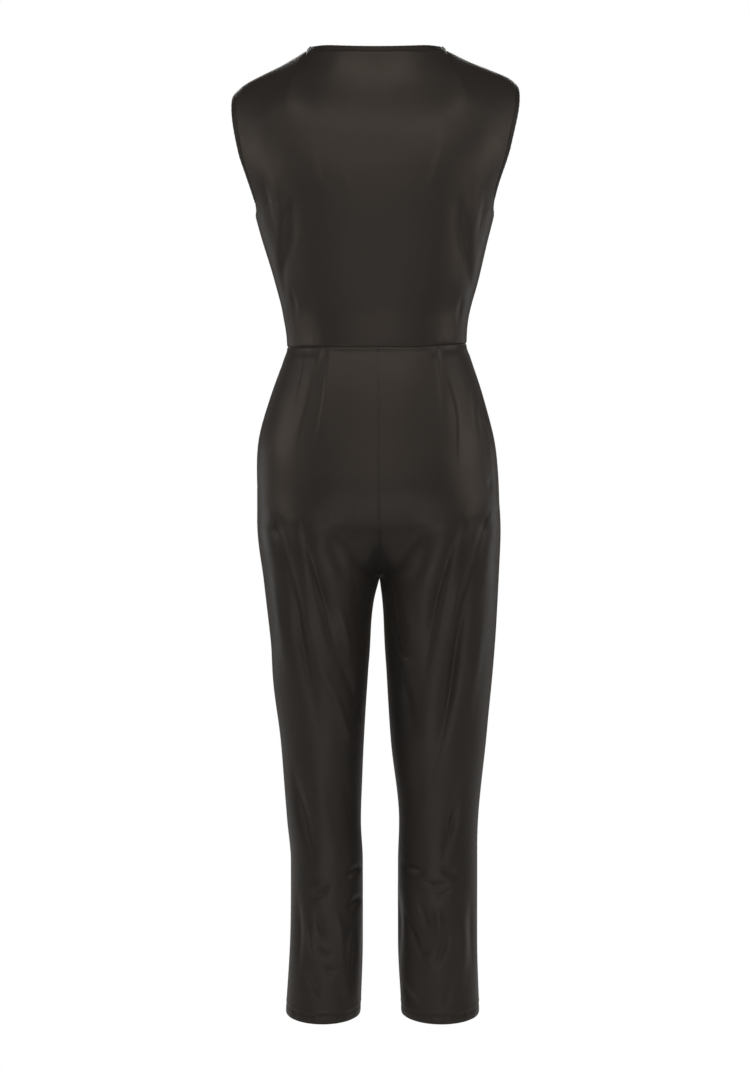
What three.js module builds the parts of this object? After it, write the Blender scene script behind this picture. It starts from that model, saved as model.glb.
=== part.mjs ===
// Sleeveless jersey jumpsuit, filled out as it hangs from the shoulders with nobody in it.
// Millimetres, +Z up. The front faces -Y and the wearer's left is +X.
// The origin is midway between the two neck points, where the shoulders carry the garment.
import * as THREE from "three";

// Driving dimensions
const CLOTH = 1.2;              // wall of one layer of jersey
const SEAM_GAP = 0.4;           // room between two edges that are sewn together
const NECK = { halfWidth: 97, z: -7, backDepth: 62, backDrop: 14, frontDrop: 178 };
const WAIST_Z = -422;
const CROTCH = { z: -746, x: -4.2, curveTop: -600 };
const HEM_Z = -1350;
const HEM_ALLOWANCE = 25;
const UNDERARM_ROW = -228;      // height of the row where the side seam ends, before it follows the top
const YOKE_BASE = -300;         // rows above this height lean to follow the neck and shoulders
const ARMHOLE_HALF_DEPTH = 50;
const EDGE_CROWDING = 2.2;      // how much only the columns near an armhole make way for it
const SHOULDER_ROUNDING = 95;   // height over which the cloth rolls over the shoulder
const WAIST_DIP = 6;            // the waist seam lies this much lower at the centre back
const HEM_DIP = { back: 9, front: -4 };
const BAND = { height: 7.5, thickness: 2.4, clear: 0.5 };
const ROUNDNESS = { back: 2.3, front: 2.15, leg: 2.1 };

// Finished body, from the shoulder tips to the hem: distance from the axis to each side seam or
// armhole edge, and how far the back and the front stand from the plane of the side seams
const TRUNK = [
  { z: -60, left: 195, right: 191, back: 84, front: 56 },
  { z: -104, left: 190, right: 184, back: 98, front: 82 },
  { z: -160, left: 185, right: 179, back: 105, front: 106 },
  { z: -216, left: 176, right: 169, back: 103, front: 121 },
  { z: -272, left: 160, right: 156, back: 97, front: 122 },
  { z: -328, left: 143, right: 143, back: 88, front: 110 },
  { z: -384, left: 129, right: 129, back: 80, front: 95 },
  { z: -408, left: 125, right: 126, back: 78, front: 90 },
  { z: -440, left: 131, right: 132, back: 84, front: 92 },
  { z: -496, left: 149, right: 150, back: 100, front: 101 },
  { z: -552, left: 164, right: 165, back: 114, front: 106 },
  { z: -608, left: 167, right: 171, back: 121, front: 106 },
  { z: -664, left: 167, right: 174, back: 120, front: 101 },
  { z: -746, left: 158, right: 171, back: 107, front: 92 },
  { z: -860, left: 145, right: 164, back: 89, front: 80 },
  { z: -972, left: 134, right: 153, back: 74, front: 71 },
  { z: -1084, left: 125, right: 142, back: 62, front: 63 },
  { z: -1140, left: 120, right: 141, back: 61, front: 58 },
  { z: -1252, left: 121, right: 141, back: 58, front: 52 },
  { z: -1350, left: 127, right: 144, back: 55, front: 52 },
];

// Distance from the axis to each inseam, below the crotch
const INSEAM = [
  { z: -746, left: -4.2, right: 4.2 },
  { z: -776, left: 3.5, right: 8 },
  { z: -860, left: 10.5, right: 13 },
  { z: -972, left: 17.5, right: 20 },
  { z: -1084, left: 21.7, right: 31.5 },
  { z: -1140, left: 19, right: 30 },
  { z: -1252, left: 19, right: 30 },
  { z: -1350, left: 22, right: 35 },
];

// Height of the shoulder line at each distance from the axis
const SHOULDER = [
  { x: 97, left: -7, right: -7 },
  { x: 130, left: -27, right: -23 },
  { x: 160, left: -42, right: -35 },
  { x: 185, left: -56, right: -46 },
  { x: 197, left: -66, right: -55 },
];

// How far round from the side each side seam lies, in degrees: the pocket mouths roll to the back
const SIDE_SEAM = [
  { z: -422, left: 0, right: 0 },
  { z: -500, left: 6, right: 14 },
  { z: -610, left: 6, right: 15 },
  { z: -720, left: 0, right: 0 },
];

// Largest folds, as seen square on from behind or in front: way points of x and z, the half width
// of the fold and how far it stands proud, or sinks where the number is negative
const FOLDS = {
  back: [
    { name: "left dart", path: [[64, -423], [92, -588]], width: 8, rise: -2 },
    { name: "right dart", path: [[-82, -421], [-113, -596]], width: 8, rise: -2 },
    { name: "left thigh outer", path: [[141, -692], [106, -841], [76, -987]], width: 11, rise: -6 },
    { name: "left thigh inner", path: [[99, -692], [64, -829], [29, -930]], width: 11, rise: -6 },
    { name: "left thigh ridge", path: [[96, -771], [58, -924], [34, -984]], width: 11, rise: 5 },
    { name: "left calf", path: [[113, -1042], [93, -1148]], width: 11, rise: -5 },
    { name: "left calf ridge", path: [[51, -1225], [51, -1295]], width: 10, rise: 3 },
    { name: "right thigh inner", path: [[-106, -692], [-76, -847], [-64, -904]], width: 11, rise: -6 },
    { name: "right thigh outer", path: [[-143, -692], [-104, -904], [-76, -1042]], width: 12, rise: -7 },
    { name: "right thigh ridge", path: [[-120, -720], [-90, -900], [-66, -985]], width: 11, rise: 4 },
    { name: "right calf", path: [[-118, -1028], [-97, -1126]], width: 11, rise: -5 },
    { name: "right ankle", path: [[-41, -1225], [-69, -1290]], width: 10, rise: -4 },
    { name: "left side of bodice", path: [[115, -225], [131, -302], [128, -346]], width: 10, rise: -4 },
    { name: "left side roll", path: [[149, -183], [138, -295]], width: 9, rise: 3 },
    { name: "right side of bodice", path: [[-115, -204], [-131, -302], [-129, -354]], width: 10, rise: -4 },
    { name: "right side roll", path: [[-141, -190], [-139, -290]], width: 9, rise: 3 },
  ],
  front: [
    { name: "left under bust", path: [[88, -262], [74, -330], [62, -405]], width: 11, rise: -4 },
    { name: "right under bust", path: [[-84, -258], [-76, -335], [-60, -408]], width: 11, rise: -4 },
    { name: "left bust side", path: [[150, -232], [112, -262]], width: 10, rise: -3 },
    { name: "right bust side", path: [[-147, -236], [-114, -268]], width: 10, rise: -3 },
    { name: "left hip drag", path: [[128, -655], [84, -716], [40, -742]], width: 11, rise: -5 },
    { name: "right hip drag", path: [[-132, -648], [-92, -712], [-46, -740]], width: 11, rise: -5 },
    { name: "left thigh", path: [[112, -800], [88, -930], [70, -1020]], width: 12, rise: -5 },
    { name: "right thigh", path: [[-128, -790], [-102, -925], [-84, -1030]], width: 12, rise: -5 },
    { name: "left knee", path: [[52, -1062], [94, -1110]], width: 10, rise: -4 },
    { name: "right knee", path: [[-64, -1056], [-108, -1104]], width: 10, rise: -4 },
    { name: "left shin", path: [[84, -1180], [64, -1275]], width: 10, rise: -3 },
    { name: "right shin", path: [[-98, -1172], [-78, -1268]], width: 10, rise: -3 },
  ],
};

// Grid sizes
const BODICE_HALF_COLUMNS = 14;
const NECK_COLUMNS = 5;         // columns from the centre to the neck point
const BODICE_ROWS = { belowArmhole: 7, alongArmhole: 12 };
const LEG_COLUMNS = 12;
const LEG_ROWS = { hip: 7, crotch: 6, leg: 17, hem: 2 };
// Pocket bags: heights, the mouth's place and the bag's reach as shares of the front panel's width,
// its thickness, and its distance from the panel at the sewn edge and where it hangs loose
const POCKET = {
  top: -446, mouthEnd: -622, bottom: -690, edge: 0.985, reach: 0.52, columns: 7,
  wall: 1.6, seat: 0.7, slack: 5,
};

const BLACK_JERSEY = new THREE.MeshStandardMaterial({ color: 0x2f2d2e, roughness: 0.55, metalness: 0 });
const BLACK_BINDING = new THREE.MeshStandardMaterial({ color: 0x2a2829, roughness: 0.6, metalness: 0 });
const POCKETING = new THREE.MeshStandardMaterial({ color: 0x252425, roughness: 0.8, metalness: 0 });

// Small helpers
const mix = (a, b, t) => a + (b - a) * t;
const clamp = (t) => Math.min(1, Math.max(0, t));
const smooth = (t) => clamp(t) ** 2 * (3 - 2 * clamp(t));
const power = (value, exponent) => Math.sign(value) * Math.abs(value) ** exponent;
// Rises from 0 to 1 like the quarter of a rounded square
const arch = (t, exponent) => (1 - (1 - clamp(t)) ** exponent) ** (1 / exponent);

// Reads one column of a table at any value of its key, along a smooth curve through the rows
function read(table, key, column, value) {
  const at = (i) => table[Math.min(table.length - 1, Math.max(0, i))];
  const falling = at(table.length - 1)[key] < at(0)[key];
  let i = 0;
  while (i < table.length - 2 && (falling ? value < at(i + 1)[key] : value > at(i + 1)[key])) i += 1;
  const [before, from, to, after] = [at(i - 1), at(i), at(i + 1), at(i + 2)];
  const span = to[key] - from[key];
  const t = clamp((value - from[key]) / span);
  const slope = (a, b) => (a === b ? 0 : ((b[column] - a[column]) / (b[key] - a[key])) * span);
  const rise = to[column] - from[column];
  const tangent = (outer, inner) => (inner * rise <= 0 || outer * rise <= 0 ? 0 : (outer + inner) / 2);
  const start = before === from ? rise : tangent(slope(before, from), rise);
  const end = after === to ? rise : tangent(slope(to, after), rise);
  const h = t * t * (3 - 2 * t);
  return mix(from[column], to[column], h) + start * t * (1 - t) ** 2 - end * t * t * (1 - t);
}

// Distance from a point to a fold's path, and how far along the path the nearest point is
function alongPath(path, x, z) {
  let best = { distance: Infinity, along: 0 };
  const last = path.length - 1;
  for (let i = 0; i < last; i += 1) {
    const [[ax, az], [bx, bz]] = [path[i], path[i + 1]];
    const t = clamp(((x - ax) * (bx - ax) + (z - az) * (bz - az)) / ((bx - ax) ** 2 + (bz - az) ** 2));
    const distance = Math.hypot(x - mix(ax, bx, t), z - mix(az, bz, t));
    if (distance < best.distance) best = { distance, along: (i + t) / last };
  }
  return best;
}

// Height of all the folds of one face at a point seen square on
function foldHeight(face, x, z) {
  return FOLDS[face].reduce((sum, fold) => {
    const { distance, along } = alongPath(fold.path, x, z);
    const fade = 0.25 + 0.75 * Math.sin(Math.PI * along);
    return sum + fold.rise * fade * Math.exp(-((distance / fold.width) ** 2));
  }, 0);
}

// Bodice surface: u runs from the right edge (-1) to the left edge (1)
const neckColumn = NECK_COLUMNS / BODICE_HALF_COLUMNS;

function topX(face, side, across) {
  const tip = SHOULDER[SHOULDER.length - 1].x - (side === "right" ? 3 : 0);
  if (across >= neckColumn) return mix(NECK.halfWidth, tip, (across - neckColumn) / (1 - neckColumn));
  const part = across / neckColumn;
  return NECK.halfWidth * (face === "back" ? Math.sin(part * Math.PI / 2) : part ** 0.85);
}

function topZ(face, side, across) {
  if (across >= neckColumn) return read(SHOULDER, "x", side, topX(face, side, across));
  const part = across / neckColumn;
  if (face === "back") return NECK.z - NECK.backDrop * Math.cos(part * Math.PI / 2) ** 1.5;
  return NECK.z - NECK.frontDrop * (1 - part) ** 1.15;
}

function bodicePoint(face, u, row) {
  const side = u < 0 ? "right" : "left";
  const across = Math.abs(u);
  const top = topZ(face, side, across);
  const lean = (top - YOKE_BASE) / (NECK.z - YOKE_BASE);
  const z = row > YOKE_BASE ? YOKE_BASE + (row - YOKE_BASE) * lean : row;
  const depth = read(TRUNK, "z", face, z);
  const roundness = ROUNDNESS[face];
  const openness = (row - UNDERARM_ROW) / (NECK.z - UNDERARM_ROW);
  const edge = ARMHOLE_HALF_DEPTH * arch(openness / 0.4, 2.4) * (openness > 0 ? 1 : 0);
  const edgeAngle = (halfDepth) => Math.acos((halfDepth / depth) ** (roundness / 2));
  const angle = across * Math.PI / 2 - (Math.PI / 2 - edgeAngle(edge)) * across ** EDGE_CROWDING;
  const cutBack = Math.sin(edgeAngle(ARMHOLE_HALF_DEPTH)) ** (2 / roundness);
  const widest = read(TRUNK, "z", side, z) * mix(1, 1 / cutBack, smooth(openness / 0.5));
  let x = widest * Math.sin(angle) ** (2 / roundness);
  let y = depth * Math.abs(Math.cos(angle)) ** (2 / roundness);
  const below = top - z;
  if (face === "back") {
    const nape = 1 - smooth((across / neckColumn - 0.45) / 0.75);
    const neckY = NECK.backDepth * Math.sqrt(1 - (Math.min(1, topX(face, side, across) / NECK.halfWidth)) ** 2);
    const rollNape = 1 - (1 - clamp(below / 120)) ** 2;
    y = mix(neckY, y, mix(arch(below / SHOULDER_ROUNDING, 2.2), rollNape, nape));
  } else {
    const ridge = across < neckColumn ? NECK.z : top;
    y *= arch((ridge - z) / SHOULDER_ROUNDING, 2.2);
  }
  x = mix(topX(face, side, across), x, smooth(below / 110));
  const dip = face === "back" ? WAIST_DIP * Math.cos(angle) * Math.exp(-(((row - WAIST_Z) / 70) ** 2)) : 0;
  return new THREE.Vector3(side === "left" ? x : -x, face === "back" ? y : -y, z - dip);
}

// Trouser surface: u runs from the centre or inseam (0) to the side seam (1)
function legPoint(face, side, u, row) {
  const sign = side === "left" ? 1 : -1;
  const centre = mix(-2, CROTCH.x, clamp((WAIST_Z - row) / (WAIST_Z - CROTCH.z)));
  const outer = sign * read(TRUNK, "z", side, row);
  const backSeam = THREE.MathUtils.degToRad(read(SIDE_SEAM, "z", side, row));
  const quarter = Math.PI / 2 + (face === "back" ? -backSeam : backSeam);
  const angle = face === "back" ? u * quarter : Math.PI - u * quarter;
  const nearFace = Math.cos(angle) >= 0 ? "back" : "front";
  const exponent = 2 / ROUNDNESS[nearFace];
  const hipX = centre + (outer - centre) * Math.abs(Math.sin(angle)) ** exponent;
  const hipY = read(TRUNK, "z", nearFace, row) * power(Math.cos(angle), exponent);

  const inner = row < CROTCH.z ? sign * read(INSEAM, "z", side, row) : centre;
  const turn = u * Math.PI;
  const depth = read(TRUNK, "z", face, row) * (face === "back" ? 1 : -1);
  const legX = inner + (outer - inner) * (1 - Math.cos(turn)) / 2;
  const legY = depth * Math.abs(Math.sin(turn)) ** (2 / ROUNDNESS.leg);

  const drop = clamp((CROTCH.curveTop - row) / (CROTCH.curveTop - CROTCH.z));
  const split = mix(1 - Math.sqrt(1 - drop ** 2), smooth(drop), smooth(u / 0.45));
  const waistFade = Math.exp(-(((row - WAIST_Z) / 70) ** 2));
  const waist = face === "back" ? WAIST_DIP * Math.max(0, Math.cos(angle)) * waistFade : 0;
  const hem = HEM_DIP[face] * Math.sin(turn) * smooth((HEM_Z + 150 - row) / 150);
  return new THREE.Vector3(mix(hipX, legX, split), mix(hipY, legY, split), row - waist - hem);
}

// A sheet is a grid of points, rows first, with a normal at each that points out of the garment
function makeSheet(face, rows, columns, pointAt) {
  const points = rows.map((row) => columns.map((column) => pointAt(column, row)));
  return { face, points, normals: sheetNormals(face, points) };
}

function sheetNormals(face, points) {
  const [lastRow, last] = [points.length - 1, points[0].length - 1];
  const at = (j, i) => points[Math.min(lastRow, Math.max(0, j))][Math.min(last, Math.max(0, i))];
  const normals = points.map((row, j) => row.map((point, i) => {
    const across = at(j, i + 1).clone().sub(at(j, i - 1));
    const down = at(j + 1, i).clone().sub(at(j - 1, i));
    return across.cross(down).normalize();
  }));
  const middle = normals[Math.floor(lastRow / 2)][Math.floor(last / 2)];
  if (middle.y * (face === "back" ? 1 : -1) < 0) normals.flat().forEach((normal) => normal.negate());
  return normals;
}

// Pushes a sheet's points out by its folds, which fade out towards the seams
function addFolds(sheet) {
  const [lastRow, last] = [sheet.points.length - 1, sheet.points[0].length - 1];
  sheet.points.forEach((row, j) => row.forEach((point, i) => {
    const fade = smooth(Math.min(i, last - i) / 1.5) * smooth(Math.min(j, lastRow - j) / 1.5);
    point.addScaledVector(sheet.normals[j][i], foldHeight(sheet.face, point.x, point.z) * fade);
  }));
  sheet.normals = sheetNormals(sheet.face, sheet.points);
}

const copySheet = (sheet) => ({
  face: sheet.face,
  points: sheet.points.map((row) => row.map((point) => point.clone())),
  normals: sheet.normals.map((row) => row.map((normal) => normal.clone())),
});

// Lays the normals along one edge square to an axis, so that both sides of a seam end in one plane
function squareEdge(sheet, cells, axis) {
  cells.forEach(([j, i]) => sheet.normals[j][i].setComponent(axis, 0).normalize());
}

// Draws one edge of a sheet back from its seam line by half of the gap
function drawBack(sheet, cells, inward) {
  cells.forEach(([j, i]) => {
    const point = sheet.points[j][i];
    const neighbour = sheet.points[j + inward[0]][i + inward[1]];
    point.addScaledVector(neighbour.clone().sub(point).normalize(), SEAM_GAP / 2);
  });
}

// Closes two grids of points, outside and inside, into one wall
function wallGeometry(outside, inside) {
  const rows = outside.length;
  const columns = outside[0].length;
  const position = [];
  [outside, inside].forEach((grid) => grid.flat().forEach((point) => position.push(...point.toArray())));
  const index = [];
  const id = (layer, j, i) => layer * rows * columns + j * columns + i;
  const quad = (a, b, c, d) => index.push(a, b, c, a, c, d);
  for (let j = 0; j < rows - 1; j += 1) {
    for (let i = 0; i < columns - 1; i += 1) {
      quad(id(0, j, i), id(0, j, i + 1), id(0, j + 1, i + 1), id(0, j + 1, i));
      quad(id(1, j, i), id(1, j + 1, i), id(1, j + 1, i + 1), id(1, j, i + 1));
    }
  }
  for (let i = 0; i < columns - 1; i += 1) {
    quad(id(0, 0, i), id(1, 0, i), id(1, 0, i + 1), id(0, 0, i + 1));
    quad(id(0, rows - 1, i), id(0, rows - 1, i + 1), id(1, rows - 1, i + 1), id(1, rows - 1, i));
  }
  for (let j = 0; j < rows - 1; j += 1) {
    quad(id(0, j, 0), id(0, j + 1, 0), id(1, j + 1, 0), id(1, j, 0));
    quad(id(0, j, columns - 1), id(1, j, columns - 1), id(1, j + 1, columns - 1), id(0, j + 1, columns - 1));
  }
  return closedGeometry(position, index);
}

// Makes the geometry, turned so that its volume is positive
function closedGeometry(position, index) {
  const corner = (k) => new THREE.Vector3().fromArray(position, 3 * index[k]);
  let volume = 0;
  for (let k = 0; k < index.length; k += 3) volume += corner(k).dot(corner(k + 1).cross(corner(k + 2)));
  if (volume < 0) {
    for (let k = 0; k < index.length; k += 3) [index[k + 1], index[k + 2]] = [index[k + 2], index[k + 1]];
  }
  const geometry = new THREE.BufferGeometry();
  geometry.setAttribute("position", new THREE.Float32BufferAttribute(position, 3));
  geometry.setIndex(index);
  geometry.computeVertexNormals();
  return geometry;
}

// A layer of points at one depth below the sheet, or above it where the depth is negative
function layer(sheet, depthAt) {
  return sheet.points.map((row, j) => row.map((point, i) =>
    point.clone().addScaledVector(sheet.normals[j][i], -depthAt(j, i))));
}

const span = (from, to, steps) => Array.from({ length: steps + 1 }, (_, k) => mix(from, to, k / steps));

// Rows of the bodice, from the waist up: close together at the armhole's foot and at the shoulder
function bodiceRows() {
  const lower = span(0, 1, BODICE_ROWS.belowArmhole).map((t) => mix(WAIST_Z, UNDERARM_ROW, t ** 1.2));
  const upper = span(0, Math.PI, BODICE_ROWS.alongArmhole)
    .map((t) => mix(UNDERARM_ROW, NECK.z, (1 - Math.cos(t)) / 2));
  return [...lower, ...upper.slice(1)];
}

// Rows of the trousers, from the waist down: close together round the crotch
function legRows() {
  const hip = span(WAIST_Z, CROTCH.curveTop, LEG_ROWS.hip);
  const crotch = span(0, Math.PI / 2, LEG_ROWS.crotch)
    .map((t) => mix(CROTCH.curveTop, CROTCH.z, Math.sin(t)));
  const hemTop = HEM_Z + HEM_ALLOWANCE;
  const leg = span(0, 1, LEG_ROWS.leg).map((t) => mix(CROTCH.z, hemTop, t ** 1.1));
  const hem = span(hemTop, HEM_Z, LEG_ROWS.hem);
  return [...hip, ...crotch.slice(1), ...leg.slice(1), ...hem.slice(1)];
}

const edgeRow = (j, from, to) => Array.from({ length: to - from + 1 }, (_, k) => [j, from + k]);
const edgeColumn = (i, from, to) => Array.from({ length: to - from + 1 }, (_, k) => [from + k, i]);

function bodiceSheet(face) {
  const columns = span(-1, 1, 2 * BODICE_HALF_COLUMNS);
  const sheet = makeSheet(face, bodiceRows(), columns, (u, row) => bodicePoint(face, u, row));
  addFolds(sheet);
  return sheet;
}

// Squares and draws back the edges where the bodice is sewn at the sides, shoulders and waist
function finishBodiceEdges(sheet) {
  const [lastRow, lastColumn] = [sheet.points.length - 1, sheet.points[0].length - 1];
  const underarm = BODICE_ROWS.belowArmhole;
  const shoulder = BODICE_HALF_COLUMNS - NECK_COLUMNS;
  const sides = [[edgeColumn(0, 0, underarm), [0, 1]], [edgeColumn(lastColumn, 0, underarm), [0, -1]]];
  const shoulders = [edgeRow(lastRow, 0, shoulder), edgeRow(lastRow, lastColumn - shoulder, lastColumn)];
  shoulders.forEach((cells) => squareEdge(sheet, cells, 1));
  sides.forEach(([cells]) => squareEdge(sheet, cells, 1));
  squareEdge(sheet, edgeRow(0, 0, lastColumn), 2);
  shoulders.forEach((cells) => drawBack(sheet, cells, [-1, 0]));
  sides.forEach(([cells, inward]) => drawBack(sheet, cells, inward));
  drawBack(sheet, edgeRow(0, 0, lastColumn), [1, 0]);
}

function legSheet(face, side) {
  const columns = span(0, 1, LEG_COLUMNS);
  const sheet = makeSheet(face, legRows(), columns, (u, row) => legPoint(face, side, u, row));
  addFolds(sheet);
  return sheet;
}

// Squares and draws back the edges at the waist, centre, inseam and side seam
function finishLegEdges(sheet) {
  const lastRow = sheet.points.length - 1;
  const crotch = LEG_ROWS.hip + LEG_ROWS.crotch;
  const [centre, inseam] = [edgeColumn(0, 0, crotch), edgeColumn(0, crotch, lastRow)];
  const side = edgeColumn(LEG_COLUMNS, 0, lastRow);
  squareEdge(sheet, side, 1);
  squareEdge(sheet, inseam.slice(1), 1);
  squareEdge(sheet, centre.slice(0, -1), 0);
  sheet.normals[crotch][0].set(0, 0, -1);
  squareEdge(sheet, edgeRow(0, 0, LEG_COLUMNS), 2);
  drawBack(sheet, side, [0, -1]);
  drawBack(sheet, [...centre, ...inseam.slice(1)], [0, 1]);
  drawBack(sheet, edgeRow(0, 0, LEG_COLUMNS), [1, 0]);
}

function panelMesh(name, sheet, depthAt, material) {
  const mesh = new THREE.Mesh(wallGeometry(layer(sheet, () => 0), layer(sheet, depthAt)), material);
  mesh.name = name;
  return mesh;
}

// Band along a closed edge: the strip stands in the opening, square to each stretch of the edge
function bandMesh(name, edge, lift) {
  const count = edge.length;
  const middle = edge.reduce((sum, cell) => sum.add(cell.point), new THREE.Vector3()).divideScalar(count);
  const inwards = edge.map((cell, k) => {
    const next = edge[(k + 1) % count];
    const along = next.point.clone().sub(cell.point);
    return cell.normal.clone().add(next.normal).cross(along).normalize();
  });
  const reach = edge.reduce((sum, cell, k) => sum + inwards[k].dot(middle.clone().sub(cell.point)), 0);
  if (reach < 0) inwards.forEach((across) => across.negate());
  const corners = edge.map((cell, k) => {
    const previous = inwards[(k + count - 1) % count];
    const across = previous.clone().add(inwards[k]).normalize();
    const mitre = 1 / Math.max(0.45, across.dot(inwards[k]));
    across.z += lift;
    across.normalize();
    const out = cell.normal.clone().addScaledVector(across, -cell.normal.dot(across)).normalize();
    const [start, end] = [BAND.clear * mitre, (BAND.clear + BAND.height) * mitre];
    const face = BAND.thickness / 2 - CLOTH / 2;
    const place = (reach, rise) =>
      cell.point.clone().addScaledVector(across, reach).addScaledVector(out, rise);
    const bevel = 0.8;
    return [
      place(start, face), place(end - bevel, face), place(end, face - bevel),
      place(end, face - BAND.thickness + bevel), place(end - bevel, face - BAND.thickness),
      place(start, face - BAND.thickness),
    ];
  });
  const sides = corners[0].length;
  const position = corners.flat().flatMap((point) => point.toArray());
  const index = [];
  for (let k = 0; k < count; k += 1) {
    for (let s = 0; s < sides; s += 1) {
      const [a, b] = [k * sides + s, k * sides + (s + 1) % sides];
      const [c, d] = [((k + 1) % count) * sides + (s + 1) % sides, ((k + 1) % count) * sides + s];
      index.push(a, b, c, a, c, d);
    }
  }
  const mesh = new THREE.Mesh(closedGeometry(position, index), BLACK_BINDING);
  mesh.name = name;
  return mesh;
}

const cellOf = (sheet, j, i) => ({ point: sheet.points[j][i], normal: sheet.normals[j][i] });

// Points round the neck: across the back from left to right, then round the front
function neckEdge(back, front) {
  const top = back.points.length - 1;
  const [right, left] = [BODICE_HALF_COLUMNS - NECK_COLUMNS, BODICE_HALF_COLUMNS + NECK_COLUMNS];
  const backCells = edgeRow(top, right, left).map(([j, i]) => cellOf(back, j, i)).reverse();
  const frontCells = edgeRow(top, right + 1, left - 1).map(([j, i]) => cellOf(front, j, i));
  return [...backCells, ...frontCells];
}

// Points round one armhole: up the back edge, over the shoulder and down the front edge
function armholeEdge(back, front, side) {
  const column = side === "left" ? 2 * BODICE_HALF_COLUMNS : 0;
  const [foot, top] = [BODICE_ROWS.belowArmhole, back.points.length - 1];
  const up = edgeColumn(column, foot, top).map(([j, i]) => cellOf(back, j, i));
  const down = edgeColumn(column, foot + 1, top - 1).map(([j, i]) => cellOf(front, j, i)).reverse();
  return [...up, ...down];
}

// Pocket bag: two layers of pocketing lying together, sewn in along the side seam's mouth and
// hanging close behind the front panel
function pocketMesh(side) {
  const rows = [...legRows().filter((row) => row < POCKET.top && row > POCKET.bottom), POCKET.bottom];
  const columns = span(0, 1, POCKET.columns);
  const belowMouth = (row) => clamp((POCKET.mouthEnd - row) / (POCKET.mouthEnd - POCKET.bottom));
  const pointAt = (s, row) => {
    const t = (POCKET.top - row) / (POCKET.top - POCKET.bottom);
    const hang = smooth((t - 0.02) / 0.3) * arch((1 - t) / 0.35, 2);
    const reach = POCKET.reach * mix(0.45, 1, hang);
    return legPoint("front", side, POCKET.edge - 0.125 * belowMouth(row) - s * reach, row);
  };
  const sheet = makeSheet("front", rows, columns, pointAt);
  const tuck = (j, i) => {
    const loose = Math.max(smooth(columns[i] / 0.4), smooth(2 * belowMouth(rows[j])));
    return CLOTH + mix(POCKET.seat, POCKET.slack, loose);
  };
  const outside = layer(sheet, tuck);
  const inside = layer(sheet, (j, i) => tuck(j, i) + POCKET.wall);
  const mesh = new THREE.Mesh(wallGeometry(outside, inside), POCKETING);
  mesh.name = `pocket_bag_${side}`;
  return mesh;
}

function buildJumpsuit() {
  const group = new THREE.Group();
  const bodice = { back: bodiceSheet("back"), front: bodiceSheet("front") };
  for (const [face, sheet] of Object.entries(bodice)) {
    const panel = copySheet(sheet);
    finishBodiceEdges(panel);
    group.add(panelMesh(`bodice_${face}`, panel, () => CLOTH, BLACK_JERSEY));
  }
  Object.values(bodice).forEach((sheet) => squareShoulders(sheet));
  group.add(bandMesh("neck_band", neckEdge(bodice.back, bodice.front), 0.3));
  for (const side of ["left", "right"]) {
    const edge = armholeEdge(bodice.back, bodice.front, side);
    group.add(bandMesh(`armhole_band_${side}`, edge, 0));
  }
  for (const face of ["back", "front"]) {
    for (const side of ["left", "right"]) {
      const sheet = legSheet(face, side);
      finishLegEdges(sheet);
      const hemRow = sheet.points.length - 1 - LEG_ROWS.hem;
      const depthAt = (j) => (j >= hemRow ? CLOTH + 1 : CLOTH);
      group.add(panelMesh(`leg_${face}_${side}`, sheet, depthAt, BLACK_JERSEY));
    }
  }
  for (const side of ["left", "right"]) group.add(pocketMesh(side));
  return group;
}

// Gives the ends of the shoulder and side seams one normal on both panels, for the bands
function squareShoulders(sheet) {
  const [top, last] = [sheet.points.length - 1, sheet.points[0].length - 1];
  const inner = [BODICE_HALF_COLUMNS - NECK_COLUMNS, BODICE_HALF_COLUMNS + NECK_COLUMNS];
  const foot = BODICE_ROWS.belowArmhole;
  squareEdge(sheet, [...inner.map((i) => [top, i]), [top, 0], [top, last], [foot, 0], [foot, last]], 1);
}

export default buildJumpsuit();
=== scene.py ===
"""Sleeveless black jersey jumpsuit, filled out as it hangs from the shoulders with nobody in it.

The garment is seen from behind, as in the photograph. Lengths in this file are millimetres, and
meshes are made in metres. The front of the garment faces -Y and the wearer's left is +X.
"""

from __future__ import annotations

import logging
import math
from dataclasses import dataclass, field
from enum import Enum
from typing import Any, Sequence

import bpy
import numpy as np
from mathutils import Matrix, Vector

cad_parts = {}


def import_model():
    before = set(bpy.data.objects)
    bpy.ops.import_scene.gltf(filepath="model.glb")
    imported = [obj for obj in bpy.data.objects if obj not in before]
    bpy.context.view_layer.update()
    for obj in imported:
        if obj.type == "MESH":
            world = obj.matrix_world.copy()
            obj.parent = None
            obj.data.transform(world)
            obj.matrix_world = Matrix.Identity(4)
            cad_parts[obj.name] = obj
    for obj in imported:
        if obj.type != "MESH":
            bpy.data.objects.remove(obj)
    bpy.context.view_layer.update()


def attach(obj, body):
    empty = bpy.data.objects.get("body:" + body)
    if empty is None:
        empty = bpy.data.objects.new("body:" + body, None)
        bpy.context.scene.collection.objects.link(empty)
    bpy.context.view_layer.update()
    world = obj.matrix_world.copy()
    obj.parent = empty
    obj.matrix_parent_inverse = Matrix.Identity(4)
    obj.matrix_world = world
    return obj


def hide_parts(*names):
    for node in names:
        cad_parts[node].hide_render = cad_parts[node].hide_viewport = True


LOG = logging.getLogger("jumpsuit")
BODY = "root"
MM = 0.001
# A wave texture of scale 1 repeats every 0.314 of a unit
WAVE_REPEAT = 0.314
WARM_LIGHT = "fff0e2"
Grid = np.ndarray


class Face(Enum):
    """The two faces of the garment, with the sign of Y on each."""

    BACK = 1
    FRONT = -1


class Side(Enum):
    """The wearer's sides, with the sign of X on each."""

    LEFT = 1
    RIGHT = -1


def ease(t: Grid) -> Grid:
    """Rise from 0 to 1 with level ends."""
    t = np.clip(t, 0, 1)
    return t * t * (3 - 2 * t)


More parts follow.
